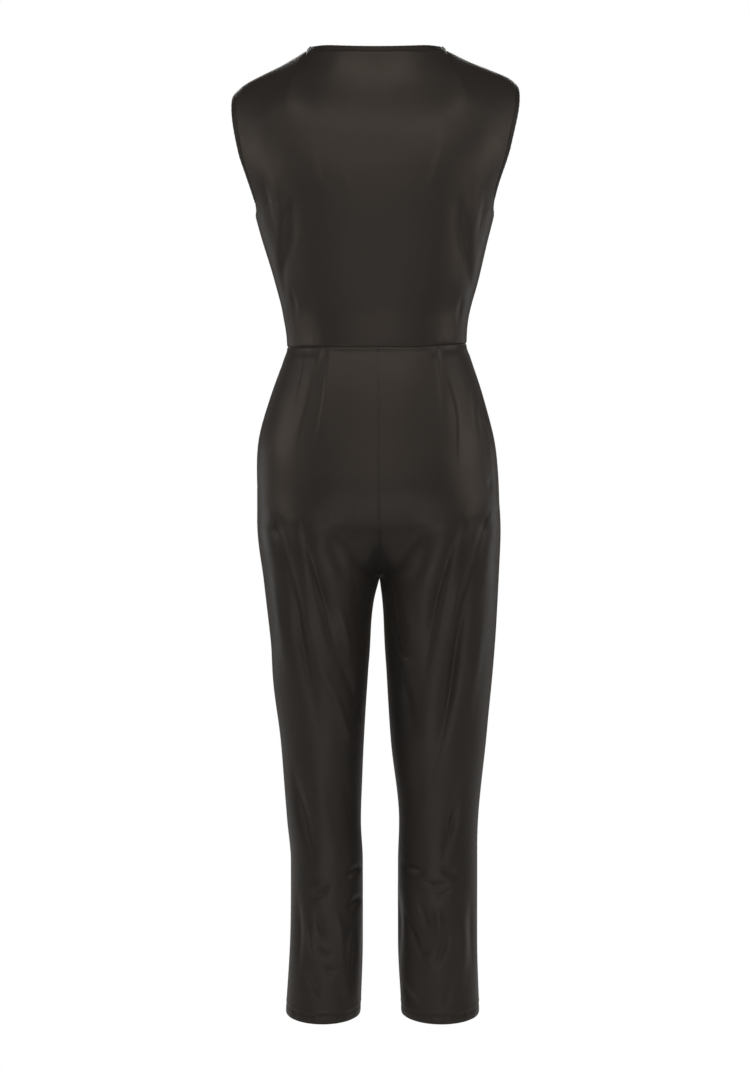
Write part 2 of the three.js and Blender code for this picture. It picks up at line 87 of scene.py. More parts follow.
def arch(t: Grid, exponent: float) -> Grid:
    """Rise from 0 to 1 like the quarter of a rounded square."""
    return (1 - (1 - np.clip(t, 0, 1)) ** exponent) ** (1 / exponent)


def mix(start: Any, end: Any, share: Any) -> Any:
    """Go from start to end by a share."""
    return start + (end - start) * share


def bell(distance: Grid, width: Any) -> Grid:
    """Rounded hump of height 1 and of the given half width."""
    return np.exp(-((distance / width) ** 2))


def unit(vectors: Grid) -> Grid:
    """Scale vectors on the last axis to length 1."""
    return vectors / np.maximum(np.linalg.norm(vectors, axis=-1, keepdims=True), 1e-9)


@dataclass(frozen=True)
class Table:
    """Rows of a key and named columns, read along a smooth curve through the rows."""

    names: tuple[str, ...]
    rows: tuple[tuple[float, ...], ...]

    def read(self, name: str, key: Grid) -> Grid:
        """Read one column at any value of the key.

        Args:
            name: the column's name.
            key: values of the first column.

        Returns:
            The column's values, level at each turn of the curve.
        """
        data = np.array(sorted(self.rows), float)
        keys, column = data[:, 0], data[:, self.names.index(name)]
        last = len(keys) - 2
        i = np.clip(np.searchsorted(keys, key, side="right") - 1, 0, last)
        spans = np.diff(keys)
        rises = np.diff(column)
        slopes = rises / spans
        t = np.clip((key - keys[i]) / spans[i], 0, 1)
        rise, span = rises[i], spans[i]

        def tangent(outer: Grid) -> Grid:
            """Slope at a row, level where the curve turns."""
            turning = (outer * rise <= 0) | (rise == 0)
            return np.where(turning, 0, (outer + rise) / 2)

        start = np.where(i == 0, rise, tangent(slopes[np.maximum(i - 1, 0)] * span))
        end = np.where(i == last, rise, tangent(slopes[np.minimum(i + 1, last)] * span))
        value = mix(column[i], column[i + 1], t * t * (3 - 2 * t))
        return value + start * t * (1 - t) ** 2 - end * t * t * (1 - t)

    def by_side(self, key: Grid, is_left: Any) -> Grid:
        """Read the left column where is_left is true, and the right column elsewhere."""
        return np.where(is_left, self.read("left", key), self.read("right", key))


@dataclass(frozen=True)
class Form:
    """Shape of the filled-out garment, within 7 mm of the solids' shape.

    trunk holds, for each height, the distance from the axis to each side seam or armhole edge, and
    how far the back and the front stand from the plane of the side seams. shoulder holds the
    height of the shoulder line, and side_seam how many degrees each side seam rolls to the back.
    """

    neck_half: float = 97
    neck_z: float = -7
    nape_depth: float = 67
    nape_drop: float = 14
    v_drop: float = 178
    waist_z: float = -422
    crotch_z: float = -746
    crotch_x: float = -4.2
    rise_top: float = -600
    hem_z: float = -1350
    underarm: float = -228
    yoke_base: float = -300
    armhole_half: float = 50
    edge_crowding: float = 2.2
    shoulder_roll: float = 95
    waist_dip: float = 6
    waist_rise: float = 5
    hem_dip: dict[Face, float] = field(default_factory=lambda: {Face.BACK: 9, Face.FRONT: -4})
    roundness: dict[Face, float] = field(
        default_factory=lambda: {Face.BACK: 2.3, Face.FRONT: 2.15}
    )
    leg_roundness: float = 2.1
    neck_share: float = 5 / 14
    tips: tuple[float, float] = (197, 194)
    neck_bend: float = 0.85
    nape_bend: float = 1.5
    v_bend: float = 1.15
    armhole_bend: tuple[float, float] = (0.4, 2.4)
    shoulder_bend: float = 2.2
    nape_roll: float = 120
    top_reach: float = 110
    waist_reach: float = 70
    tilt_from: float = 45
    tilt_span: float = 80
    split_reach: float = 0.45
    hem_reach: float = 150
    trunk: Table = Table(
        ("z", "left", "right", "back", "front"),
        (
            (-10, 198, 195, 66, 53),
            (-60, 195, 191, 79, 56),
            (-104, 190, 184, 91, 82),
            (-160, 185, 179, 102.5, 106),
            (-200, 179, 172, 106.5, 119),
            (-240, 169, 164, 103.5, 123),
            (-272, 160, 156, 98.5, 122),
            (-328, 143, 143, 89, 110),
            (-384, 129, 129, 82, 95),
            (-424, 125, 126, 82, 90),
            (-440, 130, 131, 87, 92),
            (-496, 149, 150, 101, 101),
            (-552, 164, 165, 112, 106),
            (-608, 167, 171, 119.5, 106),
            (-664, 167, 174, 120, 101),
            (-746, 158, 171, 107, 92),
            (-860, 145, 164, 89, 80),
            (-972, 134, 153, 74, 71),
            (-1084, 125, 142, 62, 63),
            (-1140, 120, 141, 61, 58),
            (-1252, 121, 141, 58, 52),
            (-1350, 127, 144, 55, 52),
        ),
    )
    inseam: Table = Table(
        ("z", "left", "right"),
        (
            (-746, -4.2, 4.2),
            (-776, 3.5, 8),
            (-860, 10.5, 13),
            (-972, 17.5, 20),
            (-1084, 21.7, 31.5),
            (-1140, 19, 30),
            (-1252, 19, 30),
            (-1350, 22, 35),
        ),
    )
    shoulder: Table = Table(
        ("x", "left", "right"),
        ((97, -7, -7), (130, -27, -23), (160, -42, -35), (185, -56, -46), (197, -66, -55)),
    )
    side_seam: Table = Table(
        ("z", "left", "right"), ((-422, 0, 0), (-500, 6, 14), (-610, 6, 15), (-720, 0, 0))
    )

    def top_x(self, face: Face, is_left: Grid, across: Grid) -> Grid:
        """Distance from the axis of the neck's and shoulder's edge."""
        tip = np.where(is_left, *self.tips)
        part = across / self.neck_share
        if face is Face.BACK:
            curve = np.sin(np.clip(part, 0, 1) * np.pi / 2)
        else:
            curve = part**self.neck_bend
        beyond = (across - self.neck_share) / (1 - self.neck_share)
        return np.where(part >= 1, mix(self.neck_half, tip, beyond), self.neck_half * curve)

    def top_z(self, face: Face, is_left: Grid, across: Grid) -> Grid:
        """Height of the neck's and shoulder's edge."""
        part = np.clip(across / self.neck_share, 0, 1)
        if face is Face.BACK:
            neck = self.neck_z - self.nape_drop * np.cos(part * np.pi / 2) ** self.nape_bend
        else:
            neck = self.neck_z - self.v_drop * (1 - part) ** self.v_bend
        shoulder = self.shoulder.by_side(self.top_x(face, is_left, across), is_left)
        return np.where(across >= self.neck_share, shoulder, neck)

    def bodice(self, face: Face, columns: Grid, rows: Grid) -> Grid:
        """Points of one bodice panel.

        Args:
            face: back or front.
            columns: from -1, the right edge, to 1, the left edge.
            rows: heights, which lean near the top to follow the neck and shoulders.

        Returns:
            Points as rows, columns, 3.
        """
        u, row = np.meshgrid(columns, rows)
        is_left, across = u >= 0, np.abs(u)
        top = self.top_z(face, is_left, across)
        lean = (top - self.yoke_base) / (self.neck_z - self.yoke_base)
        z = np.where(row > self.yoke_base, self.yoke_base + (row - self.yoke_base) * lean, row)
        depth = self.trunk.read(face.name.lower(), z)
        power = 2 / self.roundness[face]
        openness = (row - self.underarm) / (self.neck_z - self.underarm)
        full, bend = self.armhole_bend
        edge = self.armhole_half * arch(openness / full, bend) * (openness > 0)
        edge_angle = np.arccos((edge / depth) ** (1 / power))
        crowd = across**self.edge_crowding
        angle = across * np.pi / 2 - (np.pi / 2 - edge_angle) * crowd
        full_angle = np.arccos((self.armhole_half / depth) ** (1 / power))
        widening = mix(1, 1 / np.sin(full_angle) ** power, ease(openness / 0.5))
        x = self.trunk.by_side(z, is_left) * widening * np.sin(angle) ** power
        y = depth * np.abs(np.cos(angle)) ** power
        below = top - z
        if face is Face.BACK:
            nape = 1 - ease((across / self.neck_share - 0.45) / 0.75)
            reach = np.minimum(1, self.top_x(face, is_left, across) / self.neck_half)
            neck_y = self.nape_depth * np.sqrt(1 - reach**2)
            roll_nape = 1 - (1 - np.clip(below / self.nape_roll, 0, 1)) ** 2
            roll = arch(below / self.shoulder_roll, self.shoulder_bend)
            y = mix(neck_y, y, mix(roll, roll_nape, nape))
        else:
            ridge = np.where(across < self.neck_share, self.neck_z, top)
            y = y * arch((ridge - z) / self.shoulder_roll, self.shoulder_bend)
        x = mix(self.top_x(face, is_left, across), x, ease(below / self.top_reach))
        dip = self.waist_dip * np.cos(angle) * bell(row - self.waist_z, self.waist_reach)
        x = np.where(is_left, x, -x)
        z = z - dip * (face is Face.BACK) + self.waist_tilt(x, row)
        return np.stack([x, face.value * y, z], axis=-1)

    def waist_tilt(self, x: Grid, row: Grid) -> Grid:
        """How much higher the waist seam lies towards the right side."""
        share = ease((-x - self.tilt_from) / self.tilt_span)
        return self.waist_rise * share * bell(row - self.waist_z, self.waist_reach)

    def leg(self, face: Face, side: Side, u: Grid, row: Grid) -> Grid:
        """Points of one trouser panel.

        Args:
            face: back or front.
            side: the wearer's left or right.
            u: from 0, the centre seam or inseam, to 1, the side seam.
            row: heights, in a grid of the same shape as u.

        Returns:
            Points with 3 as the last axis.
        """
        sign, name = side.value, side.name.lower()
        down = np.clip((self.waist_z - row) / (self.waist_z - self.crotch_z), 0, 1)
        centre = mix(-2, self.crotch_x, down)
        outer = sign * self.trunk.read(name, row)
        quarter = np.pi / 2 - face.value * np.radians(self.side_seam.read(name, row))
        angle = u * quarter if face is Face.BACK else np.pi - u * quarter
        at_back = np.cos(angle) >= 0
        power = np.where(at_back, 2 / self.roundness[Face.BACK], 2 / self.roundness[Face.FRONT])
        hip_x = centre + (outer - centre) * np.abs(np.sin(angle)) ** power
        depth = np.where(at_back, self.trunk.read("back", row), self.trunk.read("front", row))
        hip_y = depth * np.sign(np.cos(angle)) * np.abs(np.cos(angle)) ** power
        inner = np.where(row < self.crotch_z, sign * self.inseam.read(name, row), centre)
        turn = u * np.pi
        leg_x = inner + (outer - inner) * (1 - np.cos(turn)) / 2
        leg_depth = face.value * self.trunk.read(face.name.lower(), row)
        leg_y = leg_depth * np.abs(np.sin(turn)) ** (2 / self.leg_roundness)
        drop = np.clip((self.rise_top - row) / (self.rise_top - self.crotch_z), 0, 1)
        split = mix(1 - np.sqrt(1 - drop**2), ease(drop), ease(u / self.split_reach))
        near_waist = bell(row - self.waist_z, self.waist_reach)
        dip = self.waist_dip * np.maximum(0, np.cos(angle)) * near_waist
        near_hem = ease((self.hem_z + self.hem_reach - row) / self.hem_reach)
        hem = self.hem_dip[face] * np.sin(turn) * near_hem
        x = mix(hip_x, leg_x, split)
        z = row - dip * (face is Face.BACK) - hem + self.waist_tilt(x, row)
        return np.stack([x, mix(hip_y, leg_y, split), z], axis=-1)


@dataclass(frozen=True)
class View:
    """Where the photograph was taken from, and how its pixels lie on the garment."""

    x: float = 2.1
    z: float = -686
    distance: float = 3400
    scale: float = 1.4
    width: int = 750
    height: int = 1072

    def seen(self, points: Grid) -> tuple[Grid, Grid]:
        """Pixels of the photograph at which points show.

        Args:
            points: places on the garment.

        Returns:
            Pixels to the right, and pixels down.
        """
        nearness = self.distance / (self.distance - points[..., 1])
        right = self.width / 2 - (points[..., 0] - self.x) * nearness / self.scale
        down = self.height / 2 - (points[..., 2] - self.z) * nearness / self.scale
        return right, down


@dataclass(frozen=True)
class Crease:
    """One soft fold of the cloth, along way points in pixels of the photograph.

    On the front, which the photograph hides, the way points are pixels of a view from straight
    behind through the garment. rise is how far the fold stands proud, or sinks where it is
    negative. left and right are the half widths on the picture's left and right of a path that
    runs down, or below and above one that runs to the right. start and end are the shares of the
    fold's height that is left at its two ends.
    """

    path: tuple[tuple[float, float], ...]
    rise: float
    left: float
    right: float
    start: float = 0.0
    end: float = 0.0
    peak: float = 0.45
    valley_roundness: float = 1.5
    ridge_roundness: float = 2.0
    reach_widths: float = 4

    def smooth_path(self, steps: int = 8) -> Grid:
        """Way points joined by one smooth curve."""
        way = np.array(self.path, float)
        padded = np.vstack([2 * way[0] - way[1], way, 2 * way[-1] - way[-2]])
        parts = []
        for a, b, c, d in zip(padded[:-3], padded[1:-2], padded[2:-1], padded[3:]):
            t = np.linspace(0, 1, steps, endpoint=False)[:, None]
            cubic = (3 * b - a - 3 * c + d) * t**3
            square = (2 * a - 5 * b + 4 * c - d) * t**2
            parts.append((2 * b + (c - a) * t + square + cubic) / 2)
        return np.vstack([*parts, way[-1:]])

    def height(self, right: Grid, down: Grid, scale: float) -> Grid:
        """Height of the fold at pixels of the photograph.

        Args:
            right: pixels to the right.
            down: pixels down.
            scale: millimetres in a pixel.

        Returns:
            Heights above the cloth's own form.
        """
        line = self.smooth_path()
        reach = self.reach_widths * max(self.left, self.right) / scale
        low, high = line.min(axis=0) - reach, line.max(axis=0) + reach
        near = (right > low[0]) & (right < high[0]) & (down > low[1]) & (down < high[1])
        result = np.zeros(right.shape)
        if not near.any():
            return result
        x, y = right[near], down[near]
        lengths = np.linalg.norm(np.diff(line, axis=0), axis=1)
        passed = np.concatenate([[0], np.cumsum(lengths)])
        best = np.full(x.shape, np.inf)
        along = np.zeros(x.shape)
        hand = np.zeros(x.shape)
        for k, ((ax, ay), (bx, by)) in enumerate(zip(line[:-1], line[1:])):
            dx, dy = bx - ax, by - ay
            t = np.clip(((x - ax) * dx + (y - ay) * dy) / (dx * dx + dy * dy), 0, 1)
            distance = np.hypot(x - ax - t * dx, y - ay - t * dy)
            closer = distance < best
            best = np.where(closer, distance, best)
            along = np.where(closer, passed[k] + t * lengths[k], along)
            hand = np.where(closer, dx * (y - ay) - dy * (x - ax), hand)
        share = along / passed[-1]
        rising = mix(self.start, 1, ease(share / self.peak))
        falling = mix(self.end, 1, ease((1 - share) / (1 - self.peak)))
        side = np.clip(hand / (np.abs(hand) + 1e-6) * 0.5 + 0.5, 0, 1)
        width = mix(self.right, self.left, side)
        roundness = self.valley_roundness if self.rise < 0 else self.ridge_roundness
        fall = np.exp(-((best * scale / width) ** roundness))
        result[near] = self.rise * np.minimum(rising, falling) * fall
        return result


def bodice_back_creases() -> tuple[Crease, ...]:
    """Folds on the back of the bodice, placed from the photograph."""
    return (
        Crease(
            ((294, 190), (288, 220), (283, 252), (282, 274), (287, 302)),
            -7.0, 4.4, 11, 0, 0.1,
        ),
        Crease(((269, 166), (276, 200), (280, 232), (281, 262)), 1.6, 7, 6, 0.1, 0),
        Crease(((262, 172), (268, 205), (277, 240)), -1.8, 6, 5),
        Crease(((289, 282), (294, 305), (298, 332)), -1.8, 3, 4),
        Crease(((283, 300), (286, 320), (289, 338)), 1.4, 4, 4, 0, 0.4),
        Crease(((457, 188), (463, 222), (468, 256), (472, 296)), -7.0, 11, 4.4, 0, 0.1),
        Crease(((477, 176), (475, 214), (472, 262)), 1.6, 6, 7, 0.1, 0),
        Crease(((488, 184), (483, 214), (476, 250)), -1.8, 5, 6),
        Crease(((463, 292), (460, 312), (457, 333)), -1.6, 4, 3),
        Crease(((316, 80), (313, 125), (315, 168), (334, 202)), 1.7, 32, 6, 0, 0, 0.6),
        Crease(((441, 84), (441, 124), (440, 156), (424, 200)), 1.7, 6, 32, 0, 0, 0.6),
        Crease(((345, 168), (346, 181), (350, 196)), 0.6, 6, 6),
    )


def leg_back_creases() -> tuple[Crease, ...]:
    """Folds on the back of the trousers, placed from the photograph."""
    waist = (
        Crease(
            ((329, 352), (325, 391), (320, 422), (315, 443), (309, 465)),
            1.3, 1.9, 9, 0.5, 0, 0.4,
        ),
        Crease(
            ((322, 350), (313, 377), (305, 408), (297, 437), (293, 464)),
            1.3, 9, 1.9, 0.8, 0, 0.3,
        ),
        Crease(((304, 354), (297, 391), (290, 425)), 0.7, 5, 2.2, 0.5, 0, 0.4),
        Crease(((437, 347), (441, 379), (443, 410), (444, 440)), -1.2, 4.5, 2.4, 0.8, 0, 0.3),
        Crease(
            ((440, 350), (448, 377), (454, 397), (458, 414), (459, 440), (459, 476)),
            1.4, 1.9, 9, 0.7, 0, 0.4,
        ),
        Crease(((471, 376), (472, 388), (474, 418), (476, 448)), 1.1, 1.9, 5, 0.1, 0, 0.5),
        Crease(((475, 380), (477, 392), (481, 420), (486, 454)), 1.1, 1.9, 4, 0.1, 0, 0.5),
        Crease(((481, 400), (489, 442), (492, 471), (493, 488)), 1.4, 3, 5, 0, 0, 0.6),
        Crease(((489, 478), (490, 485), (490, 492)), -1.5, 3.4, 3),
    )
    seat = (
        Crease(
            ((272, 512), (304, 520), (340, 523), (377, 525), (414, 523), (452, 520), (484, 510)),
            4.2, 9, 50, 0.15, 0.15,
        ),
        Crease(((377, 530), (378, 556), (379, 578)), -2.4, 9, 9, 0, 0.7, 0.7),
    )
    left = (
        Crease(
            ((275, 530), (283.6, 561), (289.7, 587), (294, 607), (298, 637), (303.5, 660),
             (308.7, 682), (314, 708), (320, 738)),
            -11.0, 7.6, 13, 0.5, 0.1, 0.5,
        ),
        Crease(((292, 558), (304, 610), (316, 660), (329, 708)), 3.4, 6, 8),
        Crease(((269, 560), (279, 620), (289, 680)), 2.0, 6, 7),
        Crease(
            ((303, 530), (312, 561), (321, 592), (328, 614), (333, 639), (340, 660)),
            -10.0, 7.6, 12, 0.4, 0.2, 0.5,
        ),
        Crease(((338, 654), (347, 676), (353, 694), (359, 712)), -4.2, 8, 8),
        Crease(((341, 604), (346, 634), (352, 660)), 3.6, 4.2, 4.2),
        Crease(((318, 660), (334, 694), (347, 730), (358, 753)), 4.2, 6, 4.2),
        Crease(((352, 696), (356, 710), (361, 724)), -3.0, 4, 4),
        Crease(((352, 556), (360, 620), (363, 690)), -3.4, 8, 8),
        Crease(((266, 620), (276, 690), (286, 760)), 2.0, 8, 9),
        Crease(((293, 772), (302, 814), (311, 846), (317, 872)), -7.0, 5.5, 8.0, 0.2),
        Crease(((308, 745), (322, 800), (334, 860)), 1.8, 10, 10),
        Crease(((340, 762), (350, 806), (356, 852)), -1.8, 8, 8),
    )
    right = (
        Crease(
            ((459, 528), (452, 548), (445, 571), (439, 592), (434, 614), (429, 643), (424, 680)),
            -10.0, 12, 7.6, 0.4, 0.1, 0.5,
        ),
        Crease(
            ((486, 528), (475, 571), (466, 607), (459, 643), (452, 689), (445, 721), (437, 754),
             (429, 786)),
            -12.0, 13, 8.0, 0.4, 0.1, 0.5,
        ),
        Crease(((472, 548), (459, 592), (449, 642), (438, 694)), 3.2, 6, 7),
        Crease(((484, 600), (475, 668), (462, 744)), 3.0, 8, 8),
        Crease(((386, 572), (391, 596), (392, 620), (402, 655)), -6.0, 4.0, 5, 0.2, 0.2, 0.6),
        Crease(((398, 656), (406, 662), (416, 660)), 2.6, 3.4, 3.4),
        Crease(((403, 590), (410, 625), (416, 652)), 2.0, 6, 7),
        Crease(((388, 626), (390, 658), (391, 692)), 1.8, 3, 5),
        Crease(((401, 668), (407, 705), (414, 745)), -4.6, 8, 13),
        Crease(((461, 782), (454, 821), (446, 848), (441, 870)), -7.0, 8.0, 5.5, 0.2),
        Crease(((430, 760), (423, 810), (418, 856)), 1.8, 10, 10),
    )
    left_calf = (
        Crease(((364, 864), (355, 871), (343, 879)), -4.9, 5, 3.0),
        Crease(((334, 886), (322, 893), (309, 900)), -3.5, 5, 3.0),
        Crease(((332, 880), (318, 886), (304, 890)), 2.3, 5, 5),
        Crease(((364, 893), (354, 903), (344, 912)), -4.6, 5, 4),
        Crease(((311, 904), (318, 920), (323, 936), (330, 953)), -4.6, 4, 5),
        Crease(((318, 946), (325, 955), (335, 952)), -3.2, 3.0, 3.4),
        Crease(((322, 964), (330, 972), (340, 966)), -2.9, 3.0, 3.4),
        Crease(((310, 918), (313, 946), (316, 978)), 2.9, 5, 5),
        Crease(((338, 906), (341, 944), (339, 984)), 4.3, 6, 7),
        Crease(((355, 915), (353, 950), (351, 992)), -4.3, 6, 6),
        Crease(((296, 884), (299, 930), (298, 985)), -3.8, 6, 6),
        Crease(((304, 968), (312, 986), (322, 1004)), -3.8, 6, 5),
        Crease(((338, 984), (342, 998), (342, 1010)), -2.0, 5, 5),
    )
    right_calf = (
        Crease(((398, 863), (411, 867), (428, 871)), -4.3, 6, 3.0),
        Crease(((436, 866), (448, 871), (462, 876)), -3.5, 5, 3.0),
        Crease(((420, 880), (434, 885), (452, 883)), -3.8, 4, 3.0),
        Crease(((430, 894), (441, 895), (454, 888)), -3.2, 3.4, 3.0),
        Crease(((402, 906), (409, 926), (418, 948), (430, 976)), -4.9, 4, 5),
        Crease(((417, 896), (423, 914), (431, 934)), -4.1, 4, 5),
        Crease(((452, 928), (443, 950), (434, 972)), -4.3, 5, 4),
        Crease(((419, 946), (426, 952), (435, 948)), -3.2, 3.0, 3.0),
        Crease(((437, 902), (439, 928), (437, 950)), 3.8, 6, 6),
        Crease(((399, 880), (399, 930), (400, 975)), -3.5, 6, 6),
        Crease(((403, 982), (411, 1000), (423, 1018)), -3.5, 4, 6),
        Crease(((401, 1002), (404, 1010), (409, 1018)), 2.3, 5, 6),
        Crease(((460, 900), (463, 950), (459, 1000)), 3.2, 7, 7),
        Crease(((470, 884), (472, 930), (472, 985)), -3.2, 6, 5),
        Crease(((446, 976), (448, 996), (444, 1014)), -2.3, 6, 6),
    )
    return (*waist, *seat, *left, *right, *left_calf, *right_calf)


def bodice_front_creases() -> tuple[Crease, ...]:
    """Folds on the hidden front of the bodice, of the kind that the back shows."""
    return (
        Crease(((306, 226), (318, 262), (330, 304), (336, 338)), -4.0, 9, 12, 0, 0.2),
        Crease(((442, 224), (434, 262), (424, 304), (418, 338)), -4.0, 12, 9, 0, 0.2),
        Crease(((262, 204), (282, 216), (306, 236)), -3.0, 8, 9),
        Crease(((490, 206), (470, 220), (448, 240)), -3.0, 9, 8),
        Crease(((290, 250), (296, 290), (304, 330)), 2.2, 8, 9),
        Crease(((462, 252), (456, 292), (449, 330)), 2.0, 9, 8),
        Crease(((360, 240), (352, 285), (348, 330)), -1.8, 9, 9),
        Crease(((396, 236), (402, 288), (404, 332)), -1.6, 9, 9),
        Crease(((331, 96), (340, 122), (352, 148)), -1.4, 7, 9),
        Crease(((424, 98), (414, 124), (401, 150)), -1.4, 9, 7),
    )


def leg_front_creases() -> tuple[Crease, ...]:
    """Folds on the hidden front of the trousers, of the kind that the back shows."""
    return (
        Crease(((330, 350), (324, 384), (320, 414)), -2.4, 5, 7, 0.9, 0, 0.2),
        Crease(((306, 350), (299, 380), (296, 408)), -1.8, 5, 6, 0.9, 0, 0.2),
        Crease(((424, 350), (430, 384), (434, 416)), -2.4, 7, 5, 0.9, 0, 0.2),
        Crease(((446, 350), (454, 380), (458, 408)), -1.8, 6, 5, 0.9, 0, 0.2),
        Crease(((288, 512), (316, 556), (350, 578)), -4.0, 11, 8),
        Crease(((470, 508), (442, 554), (408, 577)), -4.0, 8, 11),
        Crease(((300, 498), (328, 540), (358, 560)), -2.2, 8, 7),
        Crease(((458, 496), (430, 540), (400, 562)), -2.2, 7, 8),
        Crease(((296, 616), (314, 712), (328, 778)), -5.0, 10, 12),
        Crease(((322, 590), (338, 660), (346, 720)), 2.6, 9, 9),
        Crease(((468, 612), (449, 708), (436, 784)), -5.0, 12, 10),
        Crease(((436, 590), (424, 660), (414, 722)), 2.6, 9, 9),
        Crease(((339, 804), (322, 826), (306, 838)), -3.2, 9, 6),
        Crease(((342, 832), (326, 846), (312, 852)), -2.2, 7, 5),
        Crease(((422, 802), (440, 824), (456, 836)), -3.2, 9, 6),
        Crease(((418, 830), (436, 846), (450, 850)), -2.2, 7, 5),
        Crease(((316, 886), (326, 922), (330, 956)), -2.6, 8, 9),
        Crease(((446, 884), (438, 920), (434, 956)), -2.6, 9, 8),
        Crease(((300, 930), (306, 962), (304, 994)), 1.8, 8, 8),
        Crease(((462, 926), (458, 962), (460, 992)), 1.8, 8, 8),
    )


@dataclass(frozen=True)
class Unevenness:
    """Slow, slight rise and fall of hanging jersey, from waves with a fixed seed."""

    seed: int
    height: float = 0.45
    waves: int = 14
    longest: float = 170
    shortest: float = 38

    def at(self, points: Grid) -> Grid:
        """Heights at points, by their place seen square on."""
        draw = np.random.default_rng(self.seed)
        total = np.zeros(points.shape[:-1])
        for _ in range(self.waves):
            length = draw.uniform(self.shortest, self.longest)
            turn = draw.uniform(0, np.pi)
            phase = draw.uniform(0, 2 * np.pi)
            run = points[..., 0] * np.cos(turn) * 1.3 + points[..., 2] * np.sin(turn) * 0.7
            total += length / self.longest * np.sin(2 * np.pi * run / length + phase)
        return self.height * total / math.sqrt(self.waves / 4)


@dataclass(frozen=True)
class Seam:
    """How cloth dips into a seam, and the small puckers beside it."""

    depth: float = 1.6
    reach: float = 1.3
    pucker: float = 0.1
    pucker_reach: float = 9
    pucker_spacing: float = 11
    drift: float = 2.2
    drift_spacing: float = 31

    def dip(self, distance: Grid, along: Grid, puckered: bool = True) -> Grid:
        """Height beside a seam.

        Args:
            distance: distance from the seam line.
            along: distance along the seam line.
            puckered: whether the seam gathers the cloth a little.

        Returns:
            Heights, negative in the seam.
        """
        groove = -self.depth * bell(distance, self.reach)
        if not puckered:
            return groove
        drift = self.drift * np.sin(along / self.drift_spacing)
        wobble = np.sin(2 * np.pi * along / self.pucker_spacing + drift)
        beside = bell(distance, self.pucker_reach) * (1 - bell(distance, self.reach))
        return groove + self.pucker * wobble * beside


class Sheet:
    """A grid of points, rows first, with a normal at each that points out of the garment."""

    def __init__(self, points: Grid, face: Face) -> None:
        """Keep the points and find their normals.

        Args:
            points: rows, columns, 3.
            face: which way the garment's outside lies.
        """
        self.points = points
        self.face = face
        self.normals = self.find_normals()

    def find_normals(self) -> Grid:
        """Directions square to the sheet at its points."""
        down = np.gradient(self.points, axis=0)
        across = np.gradient(self.points, axis=1)
        normals = unit(np.cross(across, down))
        middle = normals[normals.shape[0] // 2, normals.shape[1] // 2, 1]
        return normals if middle * self.face.value > 0 else -normals

    def square(self, cells: tuple[Any, Any], axis: int) -> None:
        """Lay the normals of some cells square to an axis, as both sides of a seam share them."""
        chosen = self.normals[cells]
        chosen[..., axis] = 0
        self.normals[cells] = unit(chosen)

    def push(self, heights: Grid) -> None:
        """Move the points along their normals."""
        self.points = self.points + self.normals * heights[..., None]

    def arc(self, axis: int, backward: bool = False) -> Grid:
        """Distance of each point from the sheet's first or last line along an axis."""
        steps = np.linalg.norm(np.diff(self.points, axis=axis), axis=-1)
        total = np.cumsum(steps, axis=axis)
        start = np.zeros_like(np.take(total, [0], axis=axis))
        forward = np.concatenate([start, total], axis=axis)
        if not backward:
            return forward
        return np.take(forward, [-1], axis=axis) - forward


def spaced(start: float, end: float, count: int, crowd_start: float, crowd_end: float) -> Grid:
    """Stations from start to end, closer together at the ends.

    Args:
        start: first station.
        end: last station.
        count: number of steps.
        crowd_start: from 0, even, to 1, very close together at the start.
        crowd_end: the same at the end.

    Returns:
        count + 1 stations.
    """
    s = np.linspace(0, 1, count + 1)
    density = 1 - crowd_start * (1 - s) ** 6 - crowd_end * s**6
    t = np.concatenate([[0], np.cumsum((density[1:] + density[:-1]) / 2)])
    return mix(start, end, t / t[-1])


def srgb(code: str, alpha: float = 1.0) -> tuple[float, float, float, float]:
    """Turn an sRGB hex colour to the linear colour that shaders take.

    Args:
        code: six hex digits.
        alpha: opacity.

    Returns:
        Red, green, blue and alpha.
    """
    parts = [int(code[i:i + 2], 16) / 255 for i in (0, 2, 4)]
    linear = [c / 12.92 if c <= 0.04045 else ((c + 0.055) / 1.055) ** 2.4 for c in parts]
    return (*linear, alpha)


def add_node(
    tree: bpy.types.NodeTree,
    kind: str,
    values: dict[str | int, Any] | None = None,
    links: dict[str | int, bpy.types.NodeSocket] | None = None,
    **settings: Any,
) -> bpy.types.Node:
    """Add a node with its settings and links.

    Args:
        tree: the node tree.
        kind: the node's type name.
        values: constants for inputs, by name or number.
        links: outputs of other nodes, by the input that takes them.
        settings: the node's own properties.

    Returns:
        The new node.
    """
    node = tree.nodes.new(kind)
    for name, value in settings.items():
        setattr(node, name, value)
    for name, value in (values or {}).items():
        node.inputs[name].default_value = value
    for name, output in (links or {}).items():
        tree.links.new(output, node.inputs[name])
    return node


def new_material(name: str) -> tuple[bpy.types.Material, bpy.types.NodeTree]:
    """An empty material with nodes, and its tree."""
    material = bpy.data.materials.new(name)
    material.use_nodes = True
    material.node_tree.nodes.clear()
    return material, material.node_tree


def knit_bands(
    tree: bpy.types.NodeTree, spacing: float, distortion: float, direction: str
) -> bpy.types.NodeSocket:
    """Rows of loops across the flat cloth, from 0 to 1.

    Args:
        tree: the material's nodes.
        spacing: distance from one row to the next.
        distortion: how much the rows waver.
        direction: the axis of the flat cloth that the rows follow each other along.

    Returns:
        The value's socket.
    """
    cloth = add_node(tree, "ShaderNodeUVMap", uv_map="cloth").outputs["UV"]
    scale = WAVE_REPEAT / (spacing * MM)
    bands = add_node(
        tree, "ShaderNodeTexWave",
        {"Scale": scale, "Distortion": distortion, "Detail": 1.0},
        {"Vector": cloth},
        wave_type="BANDS", bands_direction=direction,
    )
    return bands.outputs["Fac"]


